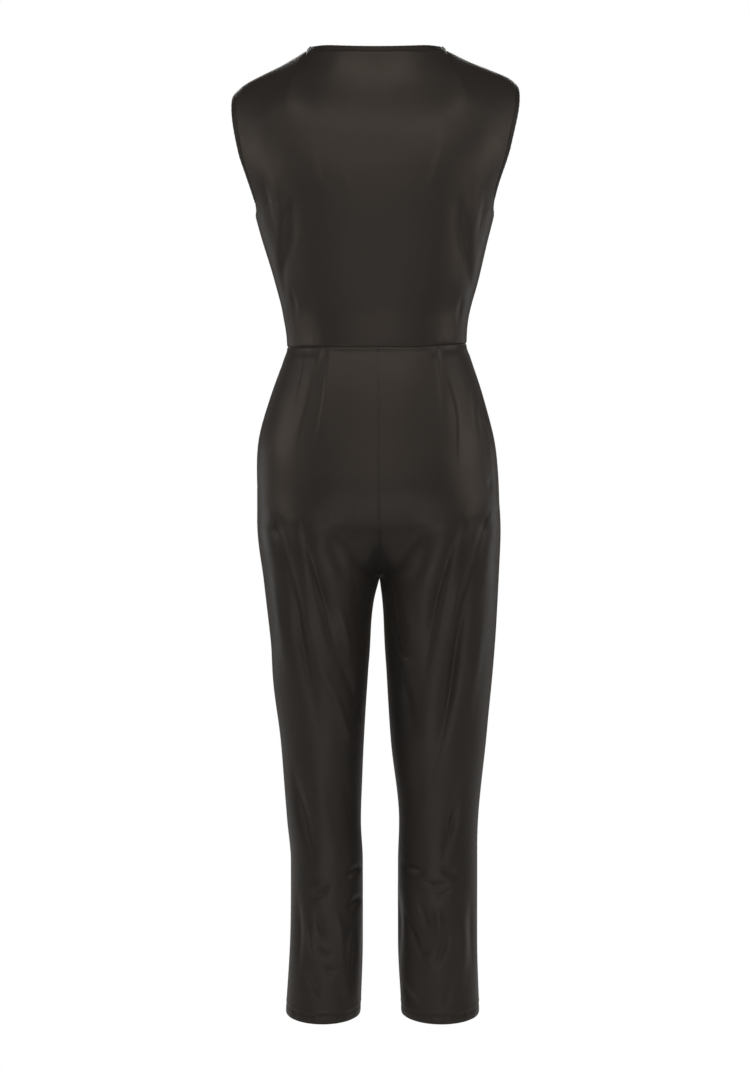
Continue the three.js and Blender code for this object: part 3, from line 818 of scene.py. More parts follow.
@dataclass(frozen=True)
class JerseyFinish:
    """Fine weft-knit polyester jersey, heat set: a smooth black face with a slight satin lustre.

    The lustre comes from the flat, bright yarn, and widens to a soft sheen where the cloth turns
    away. The real wales lie about 0.4 mm apart, too fine to show, so they are drawn 1.6 mm apart.
    """

    name: str = "polyester_jersey"
    black: str = "2b2b2c"
    warm_black: str = "302e2c"
    roughness: float = 0.44
    roughness_spread: float = 0.05
    ior: float = 1.5
    specular: float = 0.34
    specular_tint: str = "fff5ec"
    sheen: float = 0.10
    sheen_roughness: float = 0.45
    sheen_tint: str = "d9cfc6"
    wale_spacing: float = 1.6
    wale_depth: float = 0.035
    wale_distortion: float = 0.6
    cloud_size: float = 130
    crinkle_size: float = 16
    crinkle_depth: float = 0.28

    def build(self) -> bpy.types.Material:
        """Make the material."""
        material, tree = new_material(self.name)
        place = add_node(tree, "ShaderNodeTexCoord").outputs["Object"]
        clouds = add_node(
            tree, "ShaderNodeTexNoise",
            {"Scale": 1 / (self.cloud_size * MM), "Detail": 3.0, "Roughness": 0.5},
            {"Vector": place},
        )
        colour = add_node(
            tree, "ShaderNodeMix",
            {6: srgb(self.black), 7: srgb(self.warm_black)},
            {0: clouds.outputs["Fac"]},
            data_type="RGBA",
        )
        rough = add_node(
            tree, "ShaderNodeMapRange",
            {
                "From Min": 0.3, "From Max": 0.7,
                "To Min": self.roughness - self.roughness_spread,
                "To Max": self.roughness + self.roughness_spread,
            },
            {"Value": clouds.outputs["Fac"]},
        )
        wales = knit_bands(tree, self.wale_spacing, self.wale_distortion, "X")
        crinkle = add_node(
            tree, "ShaderNodeTexNoise",
            {"Scale": 1 / (self.crinkle_size * MM), "Detail": 2.0, "Roughness": 0.4},
            {"Vector": place},
        )
        soft = add_node(
            tree, "ShaderNodeBump",
            {"Strength": 1.0, "Distance": self.crinkle_depth * MM},
            {"Height": crinkle.outputs["Fac"]},
        )
        knit = add_node(
            tree, "ShaderNodeBump",
            {"Strength": 1.0, "Distance": self.wale_depth * MM},
            {"Height": wales, "Normal": soft.outputs["Normal"]},
        )
        shader = add_node(
            tree, "ShaderNodeBsdfPrincipled",
            {
                "IOR": self.ior,
                "Specular IOR Level": self.specular,
                "Specular Tint": srgb(self.specular_tint),
                "Sheen Weight": self.sheen,
                "Sheen Roughness": self.sheen_roughness,
                "Sheen Tint": srgb(self.sheen_tint),
            },
            {
                "Base Color": colour.outputs[2],
                "Roughness": rough.outputs["Result"],
                "Normal": knit.outputs["Normal"],
            },
        )
        add_node(tree, "ShaderNodeOutputMaterial", links={"Surface": shader.outputs["BSDF"]})
        return material


@dataclass(frozen=True)
class PatternedFinish:
    """Cloth or thread with one fine pattern that shifts its colour and raises its face."""

    name: str
    colour: str
    light: str
    roughness: float
    specular: float
    spacing: float
    depth: float = 0.0
    strength: float = 1.0
    sheen: float = 0.0
    distortion: float = 0.0
    direction: str = "X"

    def pattern(self, tree: bpy.types.NodeTree) -> bpy.types.NodeSocket:
        """Bands across the flat cloth, as rows of loops make them."""
        return knit_bands(tree, self.spacing, self.distortion, self.direction)

    def build(self) -> bpy.types.Material:
        """Make the material."""
        material, tree = new_material(self.name)
        share = self.pattern(tree)
        colour = add_node(
            tree, "ShaderNodeMix",
            {6: srgb(self.colour), 7: srgb(self.light)},
            {0: share},
            data_type="RGBA",
        )
        links = {"Base Color": colour.outputs[2]}
        if self.depth:
            bump = add_node(
                tree, "ShaderNodeBump",
                {"Strength": self.strength, "Distance": self.depth * MM},
                {"Height": share},
            )
            links["Normal"] = bump.outputs["Normal"]
        values = {
            "Roughness": self.roughness,
            "Specular IOR Level": self.specular,
            "Sheen Weight": self.sheen,
        }
        shader = add_node(tree, "ShaderNodeBsdfPrincipled", values, links)
        add_node(tree, "ShaderNodeOutputMaterial", links={"Surface": shader.outputs["BSDF"]})
        return material


@dataclass(frozen=True)
class WrongSideFinish(PatternedFinish):
    """The wrong side of the same jersey: rows of purl loops, duller and a little greyer."""

    name: str = "jersey_wrong_side"
    colour: str = "262423"
    light: str = "2d2b2a"
    roughness: float = 0.82
    specular: float = 0.2
    spacing: float = 1.8
    depth: float = 0.06
    distortion: float = 1.4
    direction: str = "Y"


@dataclass(frozen=True)
class BindingFinish(PatternedFinish):
    """Self-fabric binding, cut along the courses and folded, so its ribs cross the band."""

    name: str = "jersey_binding"
    colour: str = "191717"
    light: str = "211e1d"
    roughness: float = 0.55
    specular: float = 0.35
    spacing: float = 2.2
    depth: float = 0.07
    sheen: float = 0.08
    distortion: float = 0.8


@dataclass(frozen=True)
class PocketingFinish(PatternedFinish):
    """Plain-woven polyester pocketing: matt black, with a fine square weave.

    The real threads lie 0.25 mm apart, too fine to show, so they are drawn 1 mm apart.
    """

    name: str = "woven_pocketing"
    colour: str = "1b1b1c"
    light: str = "262627"
    roughness: float = 0.75
    specular: float = 0.25
    spacing: float = 1.0
    depth: float = 0.05
    strength: float = 0.8

    def pattern(self, tree: bpy.types.NodeTree) -> bpy.types.NodeSocket:
        """Squares of the flat cloth, one to a thread."""
        cloth = add_node(tree, "ShaderNodeUVMap", uv_map="cloth").outputs["UV"]
        scale = {"Scale": 1 / (self.spacing * MM)}
        return add_node(tree, "ShaderNodeTexChecker", scale, {"Vector": cloth}).outputs["Fac"]


@dataclass(frozen=True)
class ThreadFinish(PatternedFinish):
    """Twisted polyester sewing thread: black, with a slight gloss on each stitch."""

    name: str = "sewing_thread"
    colour: str = "161515"
    light: str = "232120"
    roughness: float = 0.5
    specular: float = 0.4
    spacing: float = 0.4

    def pattern(self, tree: bpy.types.NodeTree) -> bpy.types.NodeSocket:
        """Flecks of fibre in the twist."""
        place = add_node(tree, "ShaderNodeTexCoord").outputs["Object"]
        values = {"Scale": 1 / (self.spacing * MM), "Detail": 1.0}
        return add_node(tree, "ShaderNodeTexNoise", values, {"Vector": place}).outputs["Fac"]


@dataclass(frozen=True)
class Finishes:
    """The materials of the garment."""

    jersey: bpy.types.Material
    wrong_side: bpy.types.Material
    binding: bpy.types.Material
    pocketing: bpy.types.Material
    thread: bpy.types.Material

    @classmethod
    def make(cls) -> Finishes:
        """Make every material once."""
        return cls(
            JerseyFinish().build(),
            WrongSideFinish().build(),
            BindingFinish().build(),
            PocketingFinish().build(),
            ThreadFinish().build(),
        )


def mesh_object(
    name: str,
    points: Grid,
    quads: Grid,
    uv: Grid,
    materials: Sequence[bpy.types.Material],
    material_index: Grid | None = None,
    sharp_degrees: float = 60,
) -> bpy.types.Object:
    """Make an object from points and four-sided faces.

    Args:
        name: the piece's name.
        points: places, one for each corner.
        quads: corner numbers, four to a face.
        uv: place of each corner in the flat cloth, in metres.
        materials: the piece's materials.
        material_index: which material each face has.
        sharp_degrees: edges that turn more than this are left sharp.

    Returns:
        The object, at the origin.
    """
    volume = volume_of(points, quads)
    if volume < 0:
        quads = quads[:, ::-1]
    mesh = bpy.data.meshes.new(name)
    mesh.from_pydata((points * MM).tolist(), [], quads.tolist())
    for material in materials:
        mesh.materials.append(material)
    if material_index is not None:
        mesh.polygons.foreach_set("material_index", material_index.astype(np.int32))
    layer = mesh.uv_layers.new(name="cloth")
    layer.data.foreach_set("uv", uv[quads.ravel()].astype(np.float32).ravel())
    mesh.polygons.foreach_set("use_smooth", np.ones(len(quads), bool))
    mesh.set_sharp_from_angle(angle=math.radians(sharp_degrees))
    mesh.update()
    mesh.validate()
    piece = bpy.data.objects.new(name, mesh)
    bpy.context.scene.collection.objects.link(piece)
    return piece


def volume_of(points: Grid, quads: Grid) -> float:
    """Volume inside closed four-sided faces, negative where they face inwards."""
    a, b, c, d = (points[quads[:, k]] for k in range(4))
    first = np.einsum("ij,ij->i", a, np.cross(b, c)).sum()
    return float(first + np.einsum("ij,ij->i", a, np.cross(c, d)).sum()) / 6


def shell_object(
    name: str, sheet: Sheet, walls: Grid, uv: Grid, materials: Sequence[bpy.types.Material]
) -> bpy.types.Object:
    """Close a sheet into a thin shell.

    Args:
        name: the piece's name.
        sheet: the outside of the cloth.
        walls: thickness at each point.
        uv: place of each point in the flat cloth, in metres.
        materials: the outside's material, then the inside's.

    Returns:
        The piece.
    """
    rows, columns = sheet.points.shape[:2]
    inside = sheet.points - sheet.normals * walls[..., None]
    points = np.concatenate([sheet.points.reshape(-1, 3), inside.reshape(-1, 3)])
    count = rows * columns
    ids = np.arange(count).reshape(rows, columns)
    outer = np.stack([ids[:-1, :-1], ids[:-1, 1:], ids[1:, 1:], ids[1:, :-1]], -1).reshape(-1, 4)
    inner = outer[:, ::-1] + count
    loop = np.concatenate([ids[0, :-1], ids[:-1, -1], ids[-1, :0:-1], ids[:0:-1, 0]])
    onward = np.roll(loop, -1)
    rim = np.stack([onward, loop, loop + count, onward + count], -1)
    quads = np.concatenate([outer, inner, rim])
    index = np.repeat([0, 1, 0], [len(outer), len(inner), len(rim)])
    both = np.concatenate([uv.reshape(-1, 2), uv.reshape(-1, 2)])
    return mesh_object(name, points, quads, both, materials, index)


def hand_over(piece: bpy.types.Object, slot: str, *nodes: str) -> None:
    """Put a piece on the garment's body, in the place of its nodes."""
    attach(piece, BODY)
    if nodes:
        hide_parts(*nodes)
    LOG.info("%s: %d faces, in the place of %s", piece.name, len(piece.data.polygons), nodes)


@dataclass
class BodicePanel:
    """One bodice panel, from the waist seam over the bust or back to the shoulder seams."""

    face: Face
    form: Form
    creases: tuple[Crease, ...]
    flat: tuple[float, float]
    flat_area: float
    wall: float = 1.0
    neck_steps: int = 36
    shoulder_steps: int = 62
    lower_steps: int = 72
    upper_steps: int = 84
    row_bend: float = 1.15
    row_blend: float = 0.85
    side_reach: float = 16
    shoulder_reach: float = 26
    waist_reach: float = 9
    waist_share: float = 0.35
    shoulder_dip: float = 0.3
    side_dip: float = 0.45
    seam: Seam = Seam()
    sheet: Sheet = field(init=False)
    neck_columns: tuple[int, int] = field(init=False)

    def __post_init__(self) -> None:
        """Lay out the grid and shape the cloth."""
        inner = np.linspace(0, self.form.neck_share, self.neck_steps + 1)
        outer = spaced(self.form.neck_share, 1, self.shoulder_steps, 0, 0.7)
        half = np.concatenate([inner, outer[1:]])
        self.columns = np.concatenate([-half[:0:-1], half])
        middle = len(half) - 1
        self.neck_columns = (middle - self.neck_steps, middle + self.neck_steps)
        lower = spaced(self.form.waist_z, self.form.underarm, self.lower_steps, 0.7, 0)
        turn = np.linspace(0, 1, self.upper_steps + 1)
        bend = np.sin(turn * np.pi / 2) ** self.row_bend
        climb = mix(turn, bend, self.row_blend * turn)
        upper = mix(self.form.underarm, self.form.neck_z, climb)
        self.rows = np.concatenate([lower, upper[1:]])
        self.sheet = self.shaped()

    def shaped(self) -> Sheet:
        """The cloth with its folds, seams and unevenness."""
        sheet = Sheet(self.form.bodice(self.face, self.columns, self.rows), self.face)
        self.square_edges(sheet)
        right, left = sheet.arc(1), sheet.arc(1, backward=True)
        bottom, top = sheet.arc(0), sheet.arc(0, backward=True)
        view = View()
        px, py = view.seen(sheet.points)
        heights = sum(crease.height(px, py, view.scale) for crease in self.creases)
        heights = heights + Unevenness(11 if self.face is Face.BACK else 12).at(sheet.points)
        sides = np.minimum(left, right)
        heights = heights * ease(sides / self.side_reach) * ease(top / self.shoulder_reach)
        heights = heights * mix(self.waist_share, 1, ease(bottom / self.waist_reach))
        x, z = sheet.points[..., 0], sheet.points[..., 2]
        heights = heights + self.seam.dip(bottom, x)
        heights = heights + self.seam.dip(top, x, puckered=False) * self.shoulder_dip
        heights = heights + self.seam.dip(sides, z) * self.side_dip
        sheet.push(heights)
        sheet.normals = sheet.find_normals()
        self.square_edges(sheet)
        return sheet

    def square_edges(self, sheet: Sheet) -> None:
        """Share the normals of the seams with the neighbouring panels."""
        right, left = self.neck_columns
        foot = self.lower_steps
        every = slice(None)
        sheet.square((-1, slice(0, right + 1)), 1)
        sheet.square((-1, slice(left, None)), 1)
        sheet.square((slice(0, foot + 1), 0), 1)
        sheet.square((slice(0, foot + 1), -1), 1)
        sheet.square((0, every), 2)

    def build(self, finishes: Finishes) -> bpy.types.Object:
        """Args:
            finishes: the garment's materials.

        Returns:
            The piece.
        """
        name = f"bodice_{self.face.name.lower()}"
        u, row = np.meshgrid(self.columns, self.rows)
        uv = np.stack([u * self.flat[0] / 2, row * MM], axis=-1)
        walls = np.full(u.shape, self.wall)
        materials = (finishes.jersey, finishes.wrong_side)
        piece = shell_object(f"{name}_cloth", self.sheet, walls, uv, materials)
        hand_over(piece, "jersey", name)
        return piece

    def declare(self, piece: bpy.types.Object, with_pieces: Sequence[bpy.types.Object]) -> None:
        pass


@dataclass
class LegPanel:
    """One trouser panel, from the waist seam to the turned hem."""

    face: Face
    side: Side
    form: Form
    creases: tuple[Crease, ...]
    flat: tuple[float, float]
    flat_area: float
    columns_count: int = 128
    hip_steps: int = 72
    crotch_steps: int = 52
    leg_steps: int = 196
    hem_steps: int = 18
    hem_turn: float = 25
    hem_layer: float = 1.0
    hem_roll: tuple[float, float] = (0.5, 1.6)
    hem_thread: tuple[float, float, float] = (0.4, 11, 2.2)
    hem_edge: tuple[float, float, float] = (0.35, 16, 2.0)
    hem_ripple: tuple[float, float, float] = (0.25, 8, 9)
    wall: float = 1.0
    stitch_rows: tuple[int, int] = (-8, -10)
    relax_rows: float = 9
    relax_rounds: int = 40
    mouth: tuple[float, float] = (-450, -618)
    mouth_lift: float = 1.5
    mouth_sink: float = 1.2
    lift_reach: float = 5
    sink_reach: float = 6
    outer_reach: float = 16
    waist_reach: float = 7
    waist_share: float = 0.3
    inseam_reach: float = 14
    hem_reach: float = 30
    hem_share: float = 0.55
    waist_dip: float = 0.7
    outer_dip: float = 0.5
    inner_dip: float = 0.28
    seam: Seam = Seam()
    sheet: Sheet = field(init=False)

    def __post_init__(self) -> None:
        """Lay out the grid and shape the cloth."""
        form = self.form
        self.columns = spaced(0, 1, self.columns_count, 0.6, 0.7)
        hip = spaced(form.waist_z, form.rise_top, self.hip_steps, 0.7, 0)
        turn = np.linspace(0, np.pi / 2, self.crotch_steps + 1)
        crotch = mix(form.rise_top, form.crotch_z, mix(turn / (np.pi / 2), np.sin(turn), 0.8))
        hem_top = form.hem_z + self.hem_turn
        leg = mix(form.crotch_z, hem_top, np.linspace(0, 1, self.leg_steps + 1))
        hem = np.linspace(hem_top, form.hem_z, self.hem_steps + 1)
        self.rows = np.concatenate([hip, crotch[1:], leg[1:], hem[1:]])
        self.crotch_row = self.hip_steps + self.crotch_steps
        self.sheet = self.shaped()

    def mouth_share(self, row: Grid) -> Grid:
        """How far open the pocket mouth is at each height, from 0 to 1."""
        top, bottom = self.mouth
        t = np.clip((top - row) / (top - bottom), 0, 1)
        return np.sin(np.pi * t) ** 0.6

    def shaped(self) -> Sheet:
        """The cloth with its folds, seams, pocket mouth and hem."""
        u, row = np.meshgrid(self.columns, self.rows)
        sheet = Sheet(self.relaxed(self.form.leg(self.face, self.side, u, row), u), self.face)
        self.square_edges(sheet)
        inner, outer = sheet.arc(1), sheet.arc(1, backward=True)
        top, bottom = sheet.arc(0), sheet.arc(0, backward=True)
        view = View()
        px, py = view.seen(sheet.points)
        heights = sum(crease.height(px, py, view.scale) for crease in self.creases)
        heights = heights + Unevenness(21 if self.face is Face.BACK else 22).at(sheet.points)
        heights = heights * ease(outer / self.outer_reach)
        heights = heights * mix(self.waist_share, 1, ease(top / self.waist_reach))
        along_inseam = row < self.form.crotch_z + 8
        heights = heights * np.where(along_inseam, ease(inner / self.inseam_reach), 1)
        heights = heights * mix(self.hem_share, 1, ease(bottom / self.hem_reach))
        x, z = sheet.points[..., 0], sheet.points[..., 2]
        heights = heights + self.seam.dip(top, x) * self.waist_dip
        heights = heights + self.seam.dip(outer, z) * self.outer_dip
        heights = heights + self.seam.dip(inner, z, puckered=False) * self.inner_dip
        open_share = self.mouth_share(row)
        if self.face is Face.BACK:
            heights = heights + self.mouth_lift * open_share * bell(outer, self.lift_reach)
        else:
            heights = heights - self.mouth_sink * open_share * bell(outer, self.sink_reach)
        heights = heights + self.hem_profile(bottom, x)
        sheet.push(heights)
        sheet.normals = sheet.find_normals()
        self.square_edges(sheet)
        return sheet

    def relaxed(self, points: Grid, u: Grid) -> Grid:
        """Even out the bend of the cloth where the crotch passes into the leg.

        Args:
            points: the panel's points.
            u: from 0, the centre seam or inseam, to 1, the side seam.

        Returns:
            The points, with the two side edges left in place.
        """
        steps = np.arange(len(points)) - self.crotch_row
        share = bell(steps, self.relax_rows)[:, None] * ease(u / 0.1) * ease((1 - u) / 0.1)
        share = 0.5 * share[1:-1, :, None]
        for _ in range(self.relax_rounds):
            middle = (points[:-2] + points[2:]) / 2
            points[1:-1] = mix(points[1:-1], middle, share)
        return points

    def hem_profile(self, bottom: Grid, x: Grid) -> Grid:
        """Low relief of the turned and twin-stitched hem, by distance from its edge."""
        roll, roll_reach = self.hem_roll
        sink, row, sink_reach = self.hem_thread
        rise, line, rise_reach = self.hem_edge
        swell, middle, swell_reach = self.hem_ripple
        rolled = -roll * bell(bottom, roll_reach)
        stitched = -sink * bell(bottom - row, sink_reach)
        edge = rise * bell(bottom - line, rise_reach)
        wave = np.sin(2 * np.pi * x / 13 + 1.5 * np.sin(x / 17))
        ripple = swell * wave * bell(bottom - middle, swell_reach)
        return rolled + stitched + edge + ripple

    def square_edges(self, sheet: Sheet) -> None:
        """Share the normals of the seams with the neighbouring panels."""
        every = slice(None)
        sheet.square((every, -1), 1)
        sheet.square((slice(self.crotch_row + 1, None), 0), 1)
        sheet.square((slice(0, self.crotch_row), 0), 0)
        sheet.normals[self.crotch_row, 0] = (0, 0, -1)
        sheet.square((0, every), 2)

    def build(self, finishes: Finishes) -> bpy.types.Object:
        """Make the piece.

        Args:
            finishes: the garment's materials.

        Returns:
            The piece.
        """
        name = f"leg_{self.face.name.lower()}_{self.side.name.lower()}"
        u, row = np.meshgrid(self.columns, self.rows)
        uv = np.stack([u * self.flat[0], row * MM], axis=-1)
        in_hem = ease((self.form.hem_z + 15 - row) / 1.5)
        walls = self.wall + self.hem_layer * in_hem
        materials = (finishes.jersey, finishes.wrong_side)
        piece = shell_object(f"{name}_cloth", self.sheet, walls, uv, materials)
        hand_over(piece, "jersey", name)
        return piece

    def declare(self, piece: bpy.types.Object, with_pieces: Sequence[bpy.types.Object]) -> None:
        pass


@dataclass
class PocketBag:
    """Pocket bag: two layers of pocketing behind the front panel, sewn in at the side seam."""

    side: Side
    form: Form
    creases: tuple[Crease, ...]
    flat: tuple[float, float] = (0.17, 0.245)
    flat_area: float = 0.022
    top: float = -446
    mouth_end: float = -622
    bottom: float = -690
    edge: float = 0.985
    reach: float = 0.52
    seat: float = 0.9
    slack: float = 5
    cloth: float = 1.2
    wall: float = 1.5
    row_steps: int = 60
    column_steps: int = 34
    neck_share: float = 0.45
    swing: float = 0.125
    sewn: float = 0.35

    def build(self, finishes: Finishes) -> bpy.types.Object:
        """Args:
            finishes: the garment's materials.

        Returns:
            The piece.
        """
        rows = np.linspace(self.top, self.bottom, self.row_steps + 1)
        columns = spaced(0, 1, self.column_steps, 0.5, 0.5)
        s, row = np.meshgrid(columns, rows)
        t = (self.top - row) / (self.top - self.bottom)
        below = np.clip((self.mouth_end - row) / (self.mouth_end - self.bottom), 0, 1)
        hang = ease((t - 0.02) / 0.3) * arch((1 - t) / 0.35, 2)
        reach = self.reach * mix(self.neck_share, 1, hang)
        u = self.edge - self.swing * below - s * reach
        sheet = Sheet(self.form.leg(Face.FRONT, self.side, u, row), Face.FRONT)
        view = View()
        px, py = view.seen(sheet.points)
        folds = sum(crease.height(px, py, view.scale) for crease in self.creases)
        loose = np.maximum(ease(s / 0.4), ease(2 * below))
        sewn_edge = self.sewn * bell(sheet.arc(1, backward=True) - 5, 1.5)
        depth = self.cloth + mix(self.seat, self.slack, loose) - np.minimum(folds, 0)
        sheet.push(-depth + sewn_edge)
        sheet.normals = sheet.find_normals()
        uv = np.stack([s * self.flat[0], row * MM], axis=-1)
        walls = np.full(s.shape, self.wall)
        name = f"pocket_bag_{self.side.name.lower()}"
        piece = shell_object(
            f"{name}_cloth", sheet, walls, uv, (finishes.pocketing, finishes.pocketing)
        )
        hand_over(piece, "pocketing", name)
        return piece


@dataclass
class BandRing:
    """Narrow folded binding round an opening, standing in the opening along the panels' edge."""

    name: str
    flat: tuple[float, float]
    lift: float = 0.0
    lift_from: float = -60
    lift_span: float = 45
    clear: float = 0.15
    height: float = 7.8
    thickness: float = 2.2
    face_rise: float = 0.5
    corner: float = 0.95
    smoothing: int = 9
    pucker: float = 0.10
    pucker_spacing: float = 9
    stitch_reach: float = 1.6

    def frame(self, edge: Grid, normals: Grid) -> tuple[Grid, Grid]:
        """Directions of the band at each point of its edge.

        Args:
            edge: points round the opening.
            normals: the cloth's normals there.

        Returns:
            Directions into the opening, and directions out of the garment.
        """
        along = unit(np.roll(edge, -1, axis=0) - np.roll(edge, 1, axis=0))
        inwards = unit(np.cross(normals, along))
        middle = edge.mean(axis=0)
        if ((middle - edge) * inwards).sum() < 0:
            inwards = -inwards
        window = np.ones(self.smoothing) / self.smoothing
        half = self.smoothing // 2
        padded = np.concatenate([inwards[-half:], inwards, inwards[:half]])
        smooth = [np.convolve(padded[:, k], window, mode="valid") for k in range(3)]
        inwards = unit(np.stack(smooth, axis=-1))
        inwards[:, 2] += self.lift * ease((edge[:, 2] - self.lift_from) / self.lift_span)
        inwards = unit(inwards)
        out = normals - inwards * (normals * inwards).sum(axis=1, keepdims=True)
        return inwards, unit(out)

    def profile(self) -> Grid:
        """Outline of the band's cut end: reach into the opening, and rise out of the garment."""
        top, bottom = self.face_rise, self.face_rise - self.thickness
        end, start = self.clear + self.height, self.clear
        points = []
        corners = (
            (end - self.corner, top - self.corner, 90, 0),
            (end - self.corner, bottom + self.corner, 0, -90),
            (start + self.corner, bottom + self.corner, -90, -180),
            (start + self.corner, top - self.corner, 180, 90),
        )
        for reach, rise, first, last in corners:
            for turn in np.radians(np.linspace(first, last, 5)):
                x, y = self.corner * np.cos(turn), self.corner * np.sin(turn)
                points.append((reach + x, rise + y))
        return np.array(points)

    def build(self, edge: Grid, normals: Grid, finishes: Finishes) -> bpy.types.Object:
        """Make the piece.

        Args:
            edge: points round the opening.
            normals: the cloth's normals there.
            finishes: the garment's materials.

        Returns:
            The piece.
        """
        inwards, out = self.frame(edge, normals)
        profile = self.profile()
        steps = np.linalg.norm(np.roll(edge, -1, axis=0) - edge, axis=1)
        along = np.concatenate([[0], np.cumsum(steps)[:-1]])
        total = steps.sum()
        turns = round(total / self.pucker_spacing)
        wave = self.pucker * np.sin(2 * np.pi * turns * along / total)
        reach = profile[None, :, 0] + wave[:, None] * (profile[None, :, 0] > self.height / 2)
        rise = profile[None, :, 1] + wave[:, None] * 0.6
        points = edge[:, None] + inwards[:, None] * reach[..., None]
        points = points + out[:, None] * rise[..., None]
        rings, sides = points.shape[:2]
        ids = np.arange(rings * sides).reshape(rings, sides)
        onward, beside = np.roll(ids, -1, axis=0), np.roll(ids, -1, axis=1)
        across = np.roll(onward, -1, axis=1)
        quads = np.stack([ids, beside, across, onward], -1).reshape(-1, 4)
        around = np.broadcast_to(np.linspace(0, 2 * self.height, sides), (rings, sides))
        uv = np.stack([np.broadcast_to(along[:, None], (rings, sides)), around], -1) * MM
        piece = mesh_object(
            f"{self.name}_cloth", points.reshape(-1, 3), quads, uv.reshape(-1, 2),
            (finishes.binding,),
        )
        hand_over(piece, "binding", self.name)
        return piece

    def stitch_line(self, edge: Grid, normals: Grid) -> Grid:
        """Points of the stitch row that holds the band down, just outside its face."""
        inwards, out = self.frame(edge, normals)
        return edge + inwards * self.stitch_reach + out * (self.face_rise + 0.05)


class StitchTree:
    """Geometry nodes that lay stitches along a line."""

    def __init__(self) -> None:
        """Build the tree once, with its inputs."""
        self.tree = bpy.data.node_groups.new("stitch_row", "GeometryNodeTree")
        self.keys: dict[str, str] = {}
        inputs = (
            ("Line", "NodeSocketGeometry"), ("Pitch", "NodeSocketFloat"),
            ("Stitch Length", "NodeSocketFloat"), ("Thread Width", "NodeSocketFloat"),
            ("Seed", "NodeSocketInt"), ("Thread", "NodeSocketMaterial"),
        )
        for name, kind in inputs:
            socket = self.tree.interface.new_socket(name, in_out="INPUT", socket_type=kind)
            self.keys[name] = socket.identifier
        self.tree.interface.new_socket(
            "Stitches", in_out="OUTPUT", socket_type="NodeSocketGeometry"
        )
        self.wire()

    def wire(self) -> None:
        """Join the nodes: spaced points on the line, a stitch on each, made real."""
        tree = self.tree
        given = add_node(tree, "NodeGroupInput").outputs
        curve = add_node(tree, "GeometryNodeMeshToCurve", links={"Mesh": given["Line"]})
        even = add_node(
            tree, "GeometryNodeResampleCurve",
            links={"Curve": curve.outputs["Curve"], "Length": given["Pitch"]},
            mode="LENGTH",
        )
        tangent = add_node(tree, "GeometryNodeInputTangent")
        turn = add_node(
            tree, "FunctionNodeAlignRotationToVector",
            links={"Vector": tangent.outputs["Tangent"]},
            axis="X",
        )
        wobble = add_node(
            tree, "FunctionNodeRandomValue",
            {2: 0.9, 3: 1.08},
            {"Seed": given["Seed"]},
            data_type="FLOAT",
        )
        length = add_node(
            tree, "ShaderNodeMath",
            links={0: given["Stitch Length"], 1: wobble.outputs[1]},
            operation="MULTIPLY",
        )
        scale = add_node(
            tree, "ShaderNodeCombineXYZ",
            links={
                "X": length.outputs[0], "Y": given["Thread Width"], "Z": given["Thread Width"],
            },
        )
        bead = add_node(
            tree, "GeometryNodeMeshUVSphere", {"Segments": 6, "Rings": 5, "Radius": 0.5}
        )
        placed = add_node(
            tree, "GeometryNodeInstanceOnPoints",
            links={
                "Points": even.outputs["Curve"], "Instance": bead.outputs["Mesh"],
                "Rotation": turn.outputs["Rotation"], "Scale": scale.outputs["Vector"],
            },
        )
        real = add_node(
            tree, "GeometryNodeRealizeInstances", links={"Geometry": placed.outputs["Instances"]}
        )
        dressed = add_node(
            tree, "GeometryNodeSetMaterial",
            links={"Geometry": real.outputs["Geometry"], "Material": given["Thread"]},
        )
        add_node(tree, "NodeGroupOutput", links={0: dressed.outputs["Geometry"]})

    def lay(
        self, name: str, lines: Sequence[Grid], thread: bpy.types.Material, seed: int,
        pitch: float = 2.9, length: float = 2.3, width: float = 0.5,
    ) -> bpy.types.Object:
        """Sew closed lines and turn the stitches to one plain mesh.

        Args:
            name: the piece's name.
            lines: closed lines of points.
            thread: the thread's material.
            seed: seed of the small differences between stitches.
            pitch: distance from one stitch to the next.
            length: length of a stitch that shows.
            width: width of the thread.

        Returns:
            The piece.
        """
        points = np.concatenate(lines) * MM
        edges, start = [], 0
        for line in lines:
            ids = np.arange(len(line)) + start
            edges += np.stack([ids, np.roll(ids, -1)], -1).tolist()
            start += len(line)
        guide_mesh = bpy.data.meshes.new(f"{name}_line")
        guide_mesh.from_pydata(points.tolist(), edges, [])
        guide = bpy.data.objects.new(f"{name}_line", guide_mesh)
        bpy.context.scene.collection.objects.link(guide)
        modifier = guide.modifiers.new("stitches", "NODES")
        modifier.node_group = self.tree
        modifier[self.keys["Pitch"]] = pitch * MM
        modifier[self.keys["Stitch Length"]] = length * MM
        modifier[self.keys["Thread Width"]] = width * MM
        modifier[self.keys["Seed"]] = seed
        modifier[self.keys["Thread"]] = thread
        seen = guide.evaluated_get(bpy.context.evaluated_depsgraph_get())
        mesh = bpy.data.meshes.new_from_object(seen)
        guide.modifiers.clear()
        bpy.data.objects.remove(guide)
        mesh.name = name
        mesh.polygons.foreach_set("use_smooth", np.ones(len(mesh.polygons), bool))
        piece = bpy.data.objects.new(name, mesh)
        bpy.context.scene.collection.objects.link(piece)
        return piece


